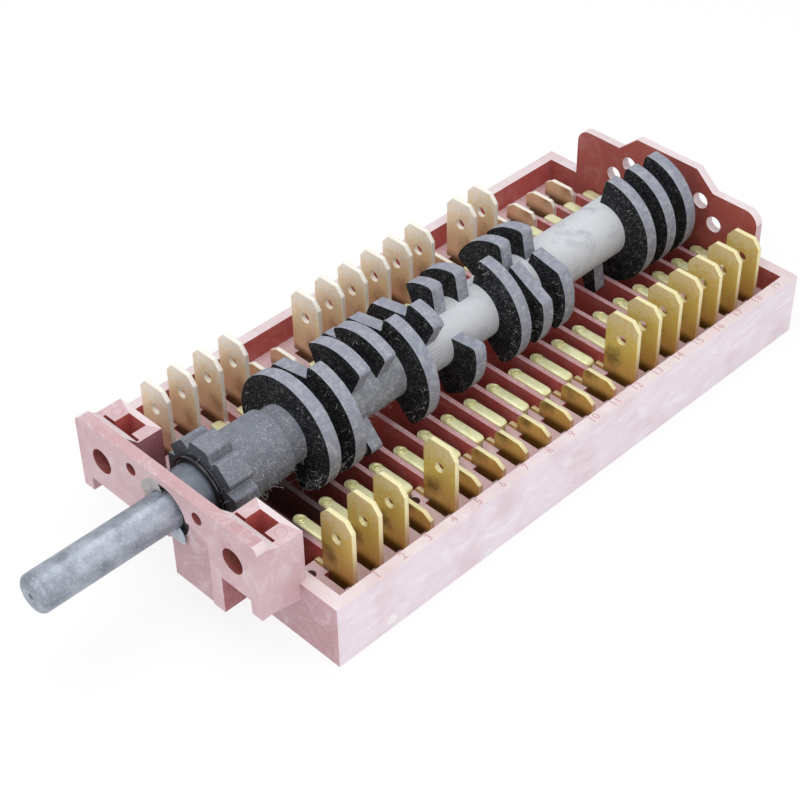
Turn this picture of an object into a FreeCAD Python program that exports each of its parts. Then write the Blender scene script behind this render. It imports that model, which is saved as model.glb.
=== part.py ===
import FreeCAD, Part
import os
from FreeCAD import Placement, Rotation, Vector
from Sketcher import Constraint

# Oven selector switch: an open thermoset tray with a camshaft that runs through it and a row of
# blade terminals along each side. All lengths are in millimetres.
# X is across the tray, Y runs back along the shaft, Z is up. The origin is on the shaft's axis at
# the front face of the front plate, where the switch meets the panel.

doc = FreeCAD.newDocument("oven_selector_switch")
sheet = doc.addObject("Spreadsheet::Sheet", "Sheet")
sheet_row = 0


def put_cell(alias, content):
    """Write one named cell of the sheet."""
    global sheet_row
    sheet_row += 1
    sheet.set("A%d" % sheet_row, alias)
    sheet.set("B%d" % sheet_row, content)
    sheet.setAlias("B%d" % sheet_row, alias)


# Driving sizes, each set by itself
SIZES = {
    # Stations: one rib, one cam and a pair of terminals each
    "station_pitch": 5.0,
    "station_count": 19,
    "first_station": 13.76,
    # Tray
    "tray_width": 53.2,
    "tray_front": 6.85,
    "tray_back_margin": 6.14,
    "side_wall": 1.8,
    "front_wall": 2.22,
    "back_wall": 2.1,
    "rim_depth": 5.4,
    "ledge_below_rim": 4.3,
    "base_depth": 16.6,
    "floor_thickness": 2.0,
    "chamber_width": 28.6,
    # Ribs across the tray, each right behind its pair of blades
    "rib_thickness": 0.85,
    "rib_drop": 7.3,
    "rib_length": 32.4,
    # Blade terminals
    "blade_width": 6.3,
    "blade_thickness": 0.8,
    "blade_gap_to_rib": 0.05,
    "blade_top": 2.45,
    "blade_chamfer_width": 1.3,
    "blade_chamfer_height": 1.6,
    "blade_hole_radius": 0.85,
    "blade_hole_below_top": 4.45,
    "stub_drop": 6.2,
    "stub_chamfer_width": 1.5,
    "stub_chamfer_height": 1.0,
    "foot_length": 1.85,
    "foot_height": 0.6,
    "foot_chamfer": 0.3,
    "tail_width": 4.0,
    "tail_length": 3.9,
    "slot_clearance": 0.05,
    "relief_length": 0.8,
    "relief_depth": 1.5,
    # Fixed contact strips behind the ribs, their rivets and the bridge springs below them
    "strip_length": 8.1,
    "strip_width": 1.95,
    "strip_thickness": 0.8,
    "strip_drop": 7.1,
    "strip_setback": 0.4,
    "strip_corner": 0.55,
    "strip_clearance": 0.05,
    "strip_leg_inset": 0.5,
    "strip_leg_thickness": 0.6,
    "rivet_inset": 1.35,
    "rivet_radius": 0.75,
    "rivet_head": 0.25,
    "rivet_button": 0.5,
    "bridge_thickness": 0.5,
    "bridge_foot": 3.0,
    "contact_gap": 1.2,
    # Front plate, its apron and its legs
    "plate_thickness": 1.9,
    "plate_width": 38.6,
    "plate_top": 5.6,
    "plate_corner": 1.2,
    "plate_drop": 5.1,
    "outer_leg_width": 2.1,
    "outer_leg_drop": 7.6,
    "inner_leg_inner": 8.8,
    "inner_leg_outer": 11.2,
    "inner_leg_drop": 12.0,
    "apron_inner": 0.1,
    "apron_drop": 12.5,
    "apron_recess": 0.5,
    "apron_shoulder_x": 5.75,
    "apron_shoulder_z": 0.64,
    "apron_corner_drop": 0.6,
    "web_thickness": 1.5,
    # Towers behind the plate, with a slot for a square nut and a pocket for the screw's end
    "tower_inner": 10.0,
    "tower_depth": 8.0,
    "tower_top": 3.65,
    "tower_ramp_depth": 1.9,
    "tower_wall": 1.5,
    "tower_wall_drop": 8.6,
    "nut_slot_inner": 10.3,
    "nut_slot_width": 7.7,
    "nut_slot_front": 3.1,
    "nut_slot_thickness": 1.2,
    "screw_pocket_width": 3.8,
    "screw_pocket_depth": 2.6,
    "mounting_spacing": 28.0,
    "mounting_hole_radius": 2.05,
    "locating_spacing": 14.0,
    "locating_height": 3.05,
    "locating_hole_radius": 1.02,
    # Back plate
    "back_plate_width": 38.0,
    "back_plate_thickness": 1.5,
    "back_shoulder_height": 3.7,
    "back_shoulder_radius": 2.5,
    "back_hump_top": 6.9,
    "back_hump_half": 6.3,
    "back_ramp_half": 9.9,
    "back_hole_radius": 1.43,
    "back_upper_hole_x": 7.6,
    "back_upper_hole_z": 1.3,
    "back_lower_hole_x": 10.7,
    "back_lower_hole_drop": 2.0,
    # Spindle and its bearing in the front plate
    "spindle_radius": 3.0,
    "spindle_reach": 22.6,
    "spindle_tip_round": 1.0,
    "centre_hole_radius": 0.45,
    "centre_hole_depth": 2.0,
    "journal_radius": 4.35,
    "journal_recess": 0.5,
    "running_clearance": 0.05,
    "tang_width": 4.2,
    "tang_length": 12.0,
    "tang_clearance": 0.05,
    # Camshaft
    "shaft_front": 6.2,
    "end_float": 0.3,
    "tube_radius": 4.7,
    "collar_front": 6.6,
    "sleeve_length": 12.5,
    "sleeve_radius": 5.4,
    "lug_length": 4.2,
    "lug_radius": 7.2,
    "lug_half_width": 1.9,
    "lug_flare": 0.6,
    "lug_corner": 0.6,
    "lug_count": 8,
    "cam_radius": 9.4,
    "cam_thickness": 2.2,
    "cam_gap_to_rib": 0.3,
    "cam_step": 18,
    "cam_flare": 14,
    "cam_ramp_radius": 7.0,
    "cam_corner": 0.8,
    "cam_root_depth": 0.4,
    # Rear pivot pin, pressed into the back plate
    "pivot_radius": 2.0,
    "pivot_depth": 7.0,
    "pivot_head_radius": 3.2,
    "pivot_head_thickness": 0.8,
    # Detent leaf under the lugged collar
    "leaf_width": 2.2,
    "leaf_thickness": 0.5,
    "leaf_clearance": 0.3,
    "leaf_knee_half": 2.4,
    "leaf_knee_below_nose": 1.4,
    "leaf_foot_inner": 7.5,
    "leaf_foot_length": 2.0,
    "leaf_wall_gap": 0.3,
    # Gap in the tray's front wall that the lugged collar turns in
    "collar_gap_clearance": 1.0,
}

# Sizes and places that follow from others
FORMULAS = {
    # Stations
    "row_length": "station_pitch * (station_count - 1)",
    "last_station": "first_station + row_length",
    # Tray
    "tray_half": "tray_width / 2",
    "tray_back": "last_station + tray_back_margin",
    "inner_half": "tray_half - side_wall",
    "inner_front": "tray_front + front_wall",
    "inner_back": "tray_back - back_wall",
    "rim_top": "-rim_depth",
    "ledge_top": "rim_top - ledge_below_rim",
    "base_bottom": "-base_depth",
    "chamber_floor": "base_bottom + floor_thickness",
    "chamber_half": "chamber_width / 2",
    "chamber_depth": "ledge_top - chamber_floor",
    "tray_height": "rim_top - base_bottom",
    # Ribs
    "rib_top": "-rib_drop",
    "rib_half": "rib_length / 2",
    # Blade terminals
    "blade_inner": "rib_half + blade_gap_to_rib",
    "blade_outer": "blade_inner + blade_width",
    "blade_middle": "blade_inner + blade_width / 2",
    "tail_inner": "blade_middle - tail_width / 2",
    "tail_outer": "blade_middle + tail_width / 2",
    "tail_bottom": "ledge_top - tail_length",
    "foot_inner": "blade_inner - foot_length",
    "foot_top": "ledge_top + foot_height",
    "foot_chamfer_inner": "foot_inner + foot_chamfer",
    "foot_chamfer_foot": "foot_top - foot_chamfer",
    "blade_hole_height": "blade_top - blade_hole_below_top",
    "blade_shoulder": "blade_top - blade_chamfer_height",
    "blade_top_inner": "blade_inner + blade_chamfer_width",
    "blade_top_outer": "blade_outer - blade_chamfer_width",
    "stub_top": "-stub_drop",
    "stub_shoulder": "stub_top - stub_chamfer_height",
    "stub_top_inner": "blade_inner + stub_chamfer_width / 2",
    "stub_top_outer": "blade_outer - stub_chamfer_width",
    "slot_inner": "tail_inner - slot_clearance",
    "slot_outer": "tail_outer + slot_clearance",
    "slot_front": "first_station - slot_clearance",
    "relief_front": "slot_front - relief_length",
    "slot_back": "first_station + blade_thickness + slot_clearance",
    "slot_depth": "tail_length + slot_clearance",
    "rib_front": "first_station + blade_thickness",
    "rib_back": "rib_front + rib_thickness",
    # Contact strips, rivets and bridge springs
    "strip_outer": "rib_half - strip_setback",
    "strip_inner": "strip_outer - strip_length",
    "strip_top": "-strip_drop",
    "strip_bottom": "strip_top - strip_thickness",
    "strip_front": "rib_back + strip_clearance",
    "strip_back": "strip_front + strip_width",
    "strip_front_corner": "strip_front + strip_corner",
    "strip_back_corner": "strip_back - strip_corner",
    "strip_inner_corner": "strip_inner + strip_corner",
    "strip_outer_corner": "strip_outer - strip_corner",
    "rivet_x": "strip_inner + rivet_inset",
    "rivet_y": "strip_front + strip_width / 2",
    "rivet_half_flat": "rivet_radius * tan(22.5)",
    "rivet_x_low": "rivet_x - rivet_radius",
    "rivet_x_flat_low": "rivet_x - rivet_half_flat",
    "rivet_x_flat_high": "rivet_x + rivet_half_flat",
    "rivet_x_high": "rivet_x + rivet_radius",
    "rivet_y_low": "rivet_y - rivet_radius",
    "rivet_y_flat_low": "rivet_y - rivet_half_flat",
    "rivet_y_flat_high": "rivet_y + rivet_half_flat",
    "rivet_y_high": "rivet_y + rivet_radius",
    "strip_leg_outer": "strip_outer - strip_leg_inset",
    "strip_leg_inner": "strip_leg_outer - strip_leg_thickness",
    "rivet_bottom": "strip_bottom - rivet_button",
    "rivet_length": "strip_thickness + rivet_head + rivet_button",
    "bridge_tip": "rivet_x_high",
    "bridge_tip_top": "rivet_bottom - contact_gap",
    "bridge_tip_bottom": "bridge_tip_top - bridge_thickness",
    "bridge_foot_top": "chamber_floor + bridge_thickness",
    # Front plate
    "plate_half": "plate_width / 2",
    "plate_bottom": "-plate_drop",
    "outer_leg_inner": "plate_half - outer_leg_width",
    "outer_leg_bottom": "-outer_leg_drop",
    "inner_leg_bottom": "-inner_leg_drop",
    "apron_bottom": "-apron_drop",
    "apron_corner_z": "-apron_corner_drop",
    "web_length": "tray_front - plate_thickness",
    "outer_web_inner": "inner_leg_outer - web_thickness",
    "apron_web_outer": "apron_inner + web_thickness",
    # Towers and the plate's holes
    "tower_length": "plate_half - tower_inner",
    "tower_wall_inner": "plate_half - tower_wall",
    "tower_wall_bottom": "-tower_wall_drop",
    "ramp_foot": "plate_thickness + tower_ramp_depth",
    "nut_slot_outer": "nut_slot_inner + nut_slot_width",
    "nut_slot_back": "nut_slot_front + nut_slot_thickness",
    "mounting_x": "mounting_spacing / 2",
    "locating_x": "locating_spacing / 2",
    "screw_pocket_inner": "mounting_x - screw_pocket_width / 2",
    "screw_pocket_outer": "mounting_x + screw_pocket_width / 2",
    "screw_pocket_back": "nut_slot_back + screw_pocket_depth",
    "tower_height": "tower_top - plate_bottom",
    "seat_length": "tower_depth - tray_front",
    # Back plate
    "back_plate_half": "back_plate_width / 2",
    "back_plate_back": "inner_back + back_plate_thickness",
    "back_lower_hole_z": "-back_lower_hole_drop",
    # Spindle
    "spindle_front": "-spindle_reach",
    "bore_radius": "journal_radius + running_clearance",
    "tang_half": "tang_width / 2",
    "socket_half": "tang_half + tang_clearance",
    "centre_hole_end": "spindle_front + centre_hole_depth",
    # Camshaft
    "shaft_back": "inner_back - end_float",
    "sleeve_back": "collar_front + sleeve_length",
    "lug_root_half": "lug_half_width + lug_flare",
    "cam_root_radius": "tube_radius - cam_root_depth",
    "socket_depth": "tang_length + end_float",
    "cam_front_first": "rib_front - cam_gap_to_rib - cam_thickness",
    # Rear pivot pin
    "pivot_bore_radius": "pivot_radius + running_clearance",
    "pivot_front": "shaft_back - pivot_depth",
    "pivot_bore_depth": "pivot_depth + end_float",
    "pivot_head_front": "back_plate_back - pivot_head_thickness",
    # Detent leaf
    "leaf_nose_top": "-(lug_radius + leaf_clearance)",
    "leaf_nose_bottom": "leaf_nose_top - leaf_thickness",
    "leaf_knee_bottom": "leaf_nose_top - leaf_knee_below_nose",
    "leaf_knee_top": "leaf_knee_bottom + leaf_thickness",
    "leaf_foot_outer": "leaf_foot_inner + leaf_foot_length",
    "leaf_foot_top": "chamber_floor + leaf_thickness",
    "leaf_front": "inner_front + leaf_wall_gap",
    # Gap under the collar
    "collar_gap_half": "inner_leg_inner",
    "collar_gap_bottom": "-(lug_radius + collar_gap_clearance)",
    "collar_gap_depth": "rim_top - collar_gap_bottom",
}

for alias, number in SIZES.items():
    put_cell(alias, str(number))
for alias, formula in FORMULAS.items():
    put_cell(alias, "=" + formula)
doc.recompute()

# Turns in degrees
QUARTER_TURN = 90
HALF_TURN = 180
FULL_TURN = 360

# Which stations have a full-length blade; the others have a short stub
TALL_RIGHT = [1, 2, 3, 5, 13, 14, 15, 16, 17, 18, 19]
TALL_LEFT = [1, 2, 3, 4, 7, 8, 9, 10, 11, 12, 14, 15]

# Cam lobes of each station as (ramp in, start, end, ramp out), counted in steps of cam_step from
# the +X side towards the top. A ramp of no steps is a steep flank.
CAM_LOBES = {
    3: [(0, -4, 11, 0)],
    4: [(0, -4, 5, 0), (3, 8, 11, 0)],
    5: [(0, 3, 7, 0), (0, -4, -2, 0)],
    6: [(0, 3, 7, 0), (3, 8, 10, 0)],
    7: [(0, -3, 5, 0), (3, 8, 9, 0)],
    8: [(0, 3, 5, 0), (3, 8, 10, 0)],
    9: [(0, 5, 7, 0), (0, -4, 1, 0)],
    10: [(0, 5, 8, 0)],
    11: [(0, -3, 5, 0)],
    12: [(0, 5, 9, 0), (0, -2, 1, 3)],
    13: [(0, 5, 8, 0), (0, -2, 2, 2)],
    16: [(0, -4.6, -3.8, 0)],
    17: [(0, -5, 5, 0)],
    18: [(0, -5, 5, 0)],
    19: [(0, -5, 5, 0)],
}


def near(a, b, tolerance=0.01):
    """Whether two lengths count as the same."""
    return abs(a - b) < tolerance


def value(term):
    """The number that a term stands for: an alias, an alias with a leading minus, or 0."""
    if term == "0":
        return 0.0
    if term.startswith("-"):
        return -sheet.get(term[1:])
    return sheet.get(term)


def bound(term):
    """The same term as an expression on the sheet."""
    if term == "0":
        return "0"
    if term.startswith("-"):
        return "-Sheet." + term[1:]
    return "Sheet." + term


def opposite(term):
    """The term with its sign turned."""
    if term == "0":
        return term
    if term.startswith("-"):
        return term[1:]
    return "-" + term


def new_body(label):
    """One piece of the switch."""
    body = doc.addObject("PartDesign::Body", label)
    body.Label = label
    return body


def origin_feature(body, role):
    """The body's own base plane or axis of that role."""
    return [feature for feature in body.Origin.OriginFeatures if feature.Role == role][0]


def new_sketch(body, name, plane, place="0"):
    """A sketch on XY, XZ or YZ; place is where that plane crosses Z, Y or X."""
    sketch = body.newObject("Sketcher::SketchObject", name)
    sketch.AttachmentSupport = [(origin_feature(body, plane + "_Plane"), "")]
    sketch.MapMode = "FlatFace"
    along_normal = opposite(place) if plane == "XZ" else place
    if place != "0":
        sketch.AttachmentOffset = Placement(Vector(0, 0, value(along_normal)), Rotation())
        sketch.setExpression("AttachmentOffset.Base.z", bound(along_normal))
    return sketch


def fix(sketch, kind, geometry, point, number, expression):
    """Tie one coordinate of a point to the sheet."""
    index = sketch.addConstraint(Constraint(kind, -1, 1, geometry, point, number))
    if expression != "0":
        sketch.setExpression("Constraints[%d]" % index, expression)


def outline(sketch, corners):
    """A closed outline of straight edges through corners given as (term, term)."""
    points = [Vector(value(x), value(y), 0) for x, y in corners]
    count = len(points)
    first = sketch.GeometryCount
    for i in range(count):
        sketch.addGeometry(Part.LineSegment(points[i], points[(i + 1) % count]), False)
    for i in range(count):
        sketch.addConstraint(Constraint("Coincident", first + i, 2, first + (i + 1) % count, 1))
    for i, (x, y) in enumerate(corners):
        fix(sketch, "DistanceX", first + i, 1, points[i].x, bound(x))
        fix(sketch, "DistanceY", first + i, 1, points[i].y, bound(y))


def rectangle(sketch, left, right, low, high):
    """A rectangle between two pairs of terms."""
    outline(sketch, [(left, low), (right, low), (right, high), (left, high)])


def circle(sketch, x, y, radius):
    """A circle with its centre and radius tied to the sheet."""
    shape = Part.Circle(Vector(value(x), value(y), 0), Vector(0, 0, 1), value(radius))
    index = sketch.addGeometry(shape, False)
    fix(sketch, "DistanceX", index, 3, value(x), bound(x))
    fix(sketch, "DistanceY", index, 3, value(y), bound(y))
    rim = sketch.addConstraint(Constraint("Radius", index, value(radius)))
    sketch.setExpression("Constraints[%d]" % rim, bound(radius))


def pad(body, name, sketch, length, reverse=False):
    """Add material along the sketch's normal, or against it."""
    feature = body.newObject("PartDesign::Pad", name)
    feature.Profile = sketch
    feature.Length = value(length)
    feature.setExpression("Length", bound(length))
    feature.Reversed = reverse
    sketch.Visibility = False
    return feature


def pocket(body, name, sketch, length, reverse=False):
    """Take material away against the sketch's normal, or along it, and see that it went."""
    doc.recompute()
    before = body.Shape.Volume
    feature = body.newObject("PartDesign::Pocket", name)
    feature.Profile = sketch
    feature.Length = value(length)
    feature.setExpression("Length", bound(length))
    feature.Reversed = reverse
    doc.recompute()
    if body.Shape.Volume >= before:
        raise RuntimeError("nothing was cut by " + name)
    return feature


def along_row(body, name, features):
    """Repeat features once for each station."""
    pattern = body.newObject("PartDesign::LinearPattern", name)
    pattern.Originals = features
    pattern.Direction = (origin_feature(body, "Y_Axis"), [""])
    pattern.Length = value("row_length")
    pattern.Occurrences = int(value("station_count"))
    pattern.setExpression("Length", "Sheet.row_length")
    pattern.setExpression("Occurrences", "Sheet.station_count")
    body.Tip = pattern
    return pattern


def revolve(body, name, sketch):
    """Turn a profile in the YZ plane once round the shaft's axis."""
    feature = body.newObject("PartDesign::Revolution", name)
    feature.Profile = sketch
    feature.ReferenceAxis = (sketch, ["H_Axis"])
    feature.Angle = FULL_TURN
    return feature


def edges_along(feature, direction, test):
    """Names of the feature's straight edges that run along direction and pass the test."""
    names = []
    for i, edge in enumerate(feature.Shape.Edges):
        if edge.Curve.TypeId != "Part::GeomLine":
            continue
        run = edge.Vertexes[-1].Point - edge.Vertexes[0].Point
        if run.Length > 0 and near(run.cross(direction).Length, 0) and test(edge.CenterOfMass):
            names.append("Edge%d" % (i + 1))
    return names


def fillet(body, name, feature, direction, test, radius):
    """Round the chosen edges of a feature."""
    doc.recompute()
    rounding = body.newObject("PartDesign::Fillet", name)
    rounding.Base = (feature, edges_along(feature, direction, test))
    rounding.Radius = value(radius)
    rounding.setExpression("Radius", bound(radius))
    doc.recompute()
    return rounding


def add_tray(body):
    """The tray: rim, ledge for the terminals, contact chambers and their ribs."""
    block = new_sketch(body, "tray_outline", "XY", "base_bottom")
    rectangle(block, "-tray_half", "tray_half", "tray_front", "tray_back")
    pad(body, "tray_block", block, "tray_height")
    hollow = new_sketch(body, "rim_outline", "XY", "rim_top")
    rectangle(hollow, "-inner_half", "inner_half", "inner_front", "inner_back")
    pocket(body, "rim_hollow", hollow, "ledge_below_rim")
    chamber = new_sketch(body, "chamber_outline", "XY", "ledge_top")
    rectangle(chamber, "-chamber_half", "chamber_half", "inner_front", "inner_back")
    pocket(body, "chamber", chamber, "chamber_depth")
    rib = new_sketch(body, "rib_outline", "XZ", "rib_front")
    rectangle(rib, "-rib_half", "rib_half", "chamber_floor", "rib_top")
    along_row(body, "ribs", [pad(body, "rib", rib, "rib_thickness", True)])
    slots = new_sketch(body, "blade_slot_outline", "XY", "ledge_top")
    rectangle(slots, "slot_inner", "slot_outer", "slot_front", "slot_back")
    rectangle(slots, "-slot_outer", "-slot_inner", "slot_front", "slot_back")
    slot = pocket(body, "blade_slot", slots, "slot_depth")
    reliefs = new_sketch(body, "slot_relief_outline", "XY", "ledge_top")
    rectangle(reliefs, "slot_inner", "slot_outer", "relief_front", "slot_front")
    rectangle(reliefs, "-slot_outer", "-slot_inner", "relief_front", "slot_front")
    along_row(body, "blade_slots", [slot, pocket(body, "slot_relief", reliefs, "relief_depth")])


def add_front_plate(body):
    """The front plate with its legs, the apron under the shaft and the webs behind them."""
    plate = new_sketch(body, "plate_outline", "XZ")
    outline(plate, [
        ("-plate_half", "plate_top"), ("-plate_half", "outer_leg_bottom"),
        ("-outer_leg_inner", "outer_leg_bottom"), ("-outer_leg_inner", "plate_bottom"),
        ("apron_inner", "plate_bottom"), ("apron_inner", "apron_bottom"),
        ("inner_leg_inner", "apron_bottom"), ("inner_leg_inner", "inner_leg_bottom"),
        ("inner_leg_outer", "inner_leg_bottom"), ("inner_leg_outer", "plate_bottom"),
        ("outer_leg_inner", "plate_bottom"), ("outer_leg_inner", "outer_leg_bottom"),
        ("plate_half", "outer_leg_bottom"), ("plate_half", "plate_top")])
    plate_pad = pad(body, "front_plate", plate, "plate_thickness", True)

    def at_top_corner(point):
        at_front = point.y < value("plate_thickness")
        at_side = near(abs(point.x), value("plate_half"))
        return at_front and at_side and near(point.z, value("plate_top"))

    fillet(body, "plate_corners", plate_pad, Vector(0, 1, 0), at_top_corner, "plate_corner")
    webs = new_sketch(body, "web_outline", "XZ", "plate_thickness")
    rectangle(webs, "outer_web_inner", "inner_leg_outer", "inner_leg_bottom", "plate_bottom")
    rectangle(webs, "apron_inner", "apron_web_outer", "inner_leg_bottom", "collar_gap_bottom")
    pad(body, "webs", webs, "web_length", True)


def add_tower(body, side, sign):
    """A tower at one end of the plate, hollow below, with its outer wall carried down."""
    place = sign + "tower_inner"
    profile = new_sketch(body, side + "_tower_profile", "YZ", place)
    outline(profile, [
        ("plate_thickness", "plate_bottom"), ("tower_depth", "plate_bottom"),
        ("tower_depth", "tower_top"), ("ramp_foot", "tower_top"),
        ("plate_thickness", "plate_top")])
    pad(body, side + "_tower", profile, "tower_length", sign == "-")
    wall = new_sketch(body, side + "_wall_profile", "YZ", sign + "tower_wall_inner")
    outline(wall, [
        ("plate_thickness", "outer_leg_bottom"), ("tray_front", "tower_wall_bottom"),
        ("tray_front", "rim_top"), ("tower_depth", "rim_top"),
        ("tower_depth", "plate_bottom"), ("plate_thickness", "plate_bottom")])
    pad(body, side + "_tower_wall", wall, "tower_wall", sign == "-")
    slot = new_sketch(body, side + "_nut_slot_outline", "XY", "tower_top")
    ends = sorted([sign + "nut_slot_inner", sign + "nut_slot_outer"], key=value)
    rectangle(slot, ends[0], ends[1], "nut_slot_front", "nut_slot_back")
    pocket(body, side + "_nut_slot", slot, "tower_height")
    relief = new_sketch(body, side + "_screw_pocket_outline", "XY", "tower_top")
    ends = sorted([sign + "screw_pocket_inner", sign + "screw_pocket_outer"], key=value)
    rectangle(relief, ends[0], ends[1], "nut_slot_back", "screw_pocket_back")
    pocket(body, side + "_screw_pocket", relief, "tower_height")


def add_tower_seat(body):
    """The band that joins both towers and the webs to the tray's front wall."""
    band = new_sketch(body, "tower_seat_outline", "XZ", "tray_front")
    rectangle(band, "tower_inner", "plate_half", "rim_top", "plate_bottom")
    rectangle(band, "-plate_half", "-tower_inner", "rim_top", "plate_bottom")
    pad(body, "tower_seats", band, "seat_length", True)


def add_plate_holes(body):
    """Bearing bore, screw holes and locating holes through the front plate."""
    holes = new_sketch(body, "plate_hole_centres", "XZ")
    circle(holes, "0", "0", "bore_radius")
    for sign in ("", "-"):
        circle(holes, sign + "mounting_x", "0", "mounting_hole_radius")
        circle(holes, sign + "locating_x", "locating_height", "locating_hole_radius")
    pocket(body, "plate_holes", holes, "nut_slot_front")


def add_apron_recess(body):
    """The apron's face lies a little behind the plate's face, under a sloping edge."""
    face = new_sketch(body, "apron_face", "XZ")
    outline(face, [
        ("apron_inner", "apron_bottom"), ("inner_leg_inner", "apron_bottom"),
        ("inner_leg_inner", "apron_corner_z"), ("apron_shoulder_x", "apron_shoulder_z"),
        ("apron_inner", "apron_shoulder_z")])
    pocket(body, "apron_recess", face, "apron_recess")


def add_collar_gap(body):
    """The gap in the tray's front wall under the lugged collar."""
    gap = new_sketch(body, "collar_gap_outline", "XY", "rim_top")
    rectangle(gap, "-collar_gap_half", "collar_gap_half", "tray_front", "inner_front")
    pocket(body, "collar_gap", gap, "collar_gap_depth")


def add_back_plate(body):
    """The back plate: a hump over the shaft, square shoulders and four holes."""
    plate = new_sketch(body, "back_plate_outline", "XZ", "inner_back")
    right = [
        ("back_plate_half", "rim_top"), ("back_plate_half", "back_shoulder_height"),
        ("back_ramp_half", "back_shoulder_height"), ("back_hump_half", "back_hump_top")]
    left = [(opposite(x), z) for x, z in reversed(right)]
    outline(plate, right + left)
    back = pad(body, "back_plate", plate, "back_plate_thickness", True)

    def at_shoulder(point):
        at_back = point.y > value("inner_back")
        at_side = near(abs(point.x), value("back_plate_half"))
        return at_back and at_side and near(point.z, value("back_shoulder_height"))

    fillet(body, "back_shoulders", back, Vector(0, 1, 0), at_shoulder, "back_shoulder_radius")
    holes = new_sketch(body, "back_hole_centres", "XZ", "inner_back")
    circle(holes, "0", "0", "pivot_radius")
    for sign in ("", "-"):
        circle(holes, sign + "back_upper_hole_x", "back_upper_hole_z", "back_hole_radius")
        circle(holes, sign + "back_lower_hole_x", "back_lower_hole_z", "back_hole_radius")
    pocket(body, "back_holes", holes, "back_plate_thickness")
    head = new_sketch(body, "pivot_head_outline", "XZ", "pivot_head_front")
    circle(head, "0", "0", "pivot_head_radius")
    pocket(body, "pivot_head_seat", head, "pivot_head_thickness")


def make_housing():
    """The whole housing is one moulding."""
    body = new_body("housing")
    add_tray(body)
    add_front_plate(body)
    add_tower(body, "right", "")
    add_tower(body, "left", "-")
    add_tower_seat(body)
    add_collar_gap(body)
    add_plate_holes(body)
    add_apron_recess(body)
    add_back_plate(body)
    return body


def blade_outline(sketch, tall):
    """Blade of a right-hand terminal, seen from the front, with its foot and its tail."""
    kind = "blade" if tall else "stub"
    outline(sketch, [
        ("tail_inner", "tail_bottom"), ("tail_outer", "tail_bottom"),
        ("tail_outer", "ledge_top"), ("blade_outer", "ledge_top"),
        ("blade_outer", kind + "_shoulder"), (kind + "_top_outer", kind + "_top"),
        (kind + "_top_inner", kind + "_top"), ("blade_inner", kind + "_shoulder"),
        ("blade_inner", "foot_top"), ("foot_chamfer_inner", "foot_top"),
        ("foot_inner", "foot_chamfer_foot"), ("foot_inner", "ledge_top"),
        ("tail_inner", "ledge_top")])
    if tall:
        circle(sketch, "blade_middle", "blade_hole_height", "blade_hole_radius")


def make_terminal(side, station, tall):
    """A blade terminal; a left one is a right one turned half round."""
    body = new_body("terminal_%s_%02d" % (side, station))
    sketch = new_sketch(body, body.Label + "_outline", "XZ")
    blade_outline(sketch, tall)
    pad(body, body.Label + "_blade", sketch, "blade_thickness", True)
    turn = 0 if side == "right" else HALF_TURN
    body.Placement = Placement(Vector(0, 0, 0), Rotation(Vector(0, 0, 1), turn))
    place = "Sheet.first_station + Sheet.station_pitch * %d" % (station - 1)
    if side == "left":
        place += " + Sheet.blade_thickness"
    body.setExpression("Placement.Base.y", place)
    return body


def rivet_outline(sketch, sign):
    """The eight-sided outline that stands for a rivet's round shank and for its hole."""
    corners = [
        ("rivet_x_low", "rivet_y_flat_low"), ("rivet_x_flat_low", "rivet_y_low"),
        ("rivet_x_flat_high", "rivet_y_low"), ("rivet_x_high", "rivet_y_flat_low"),
        ("rivet_x_high", "rivet_y_flat_high"), ("rivet_x_flat_high", "rivet_y_high"),
        ("rivet_x_flat_low", "rivet_y_high"), ("rivet_x_low", "rivet_y_flat_high")]
    outline(sketch, [(sign + x, y) for x, y in corners])


def strip_plan(sketch, sign):
    """Plan of a contact strip: two straight edges between blunt ends, and the rivet's hole."""
    corners = [
        ("strip_inner", "strip_front_corner"), ("strip_inner_corner", "strip_front"),
        ("strip_outer_corner", "strip_front"), ("strip_outer", "strip_front_corner"),
        ("strip_outer", "strip_back_corner"), ("strip_outer_corner", "strip_back"),
        ("strip_inner_corner", "strip_back"), ("strip_inner", "strip_back_corner")]
    outline(sketch, [(sign + x, y) for x, y in corners])
    rivet_outline(sketch, sign)


def angle(degrees):
    """Degrees as radians."""
    return FreeCAD.Units.Quantity(degrees, FreeCAD.Units.Angle).getValueAs("rad").Value


def make_fixed_contacts(side, sign):
    """A row of contact strips, each standing on the ledge on its own leg."""
    body = new_body("fixed_contacts_" + side)
    body.AllowCompound = True
    plan = new_sketch(body, body.Label + "_plan", "XY", "strip_bottom")
    strip_plan(plan, sign)
    strip = pad(body, body.Label + "_strip", plan, "strip_thickness")
    profile = new_sketch(body, body.Label + "_leg_profile", "XZ", "strip_front")
    ends = sorted([sign + "strip_leg_inner", sign + "strip_leg_outer"], key=value)
    rectangle(profile, ends[0], ends[1], "ledge_top", "strip_bottom")
    leg = pad(body, body.Label + "_leg", profile, "strip_width", True)
    along_row(body, body.Label + "_row", [strip, leg])
    return body


def make_rivets(side, sign):
    """A row of contact rivets, each through the inner end of its strip."""
    body = new_body("contact_rivets_" + side)
    body.AllowCompound = True
    plan = new_sketch(body, body.Label + "_plan", "XY", "rivet_bottom")
    rivet_outline(plan, sign)
    rivet = pad(body, body.Label + "_rivet", plan, "rivet_length")
    along_row(body, body.Label + "_row", [rivet])
    return body


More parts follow.
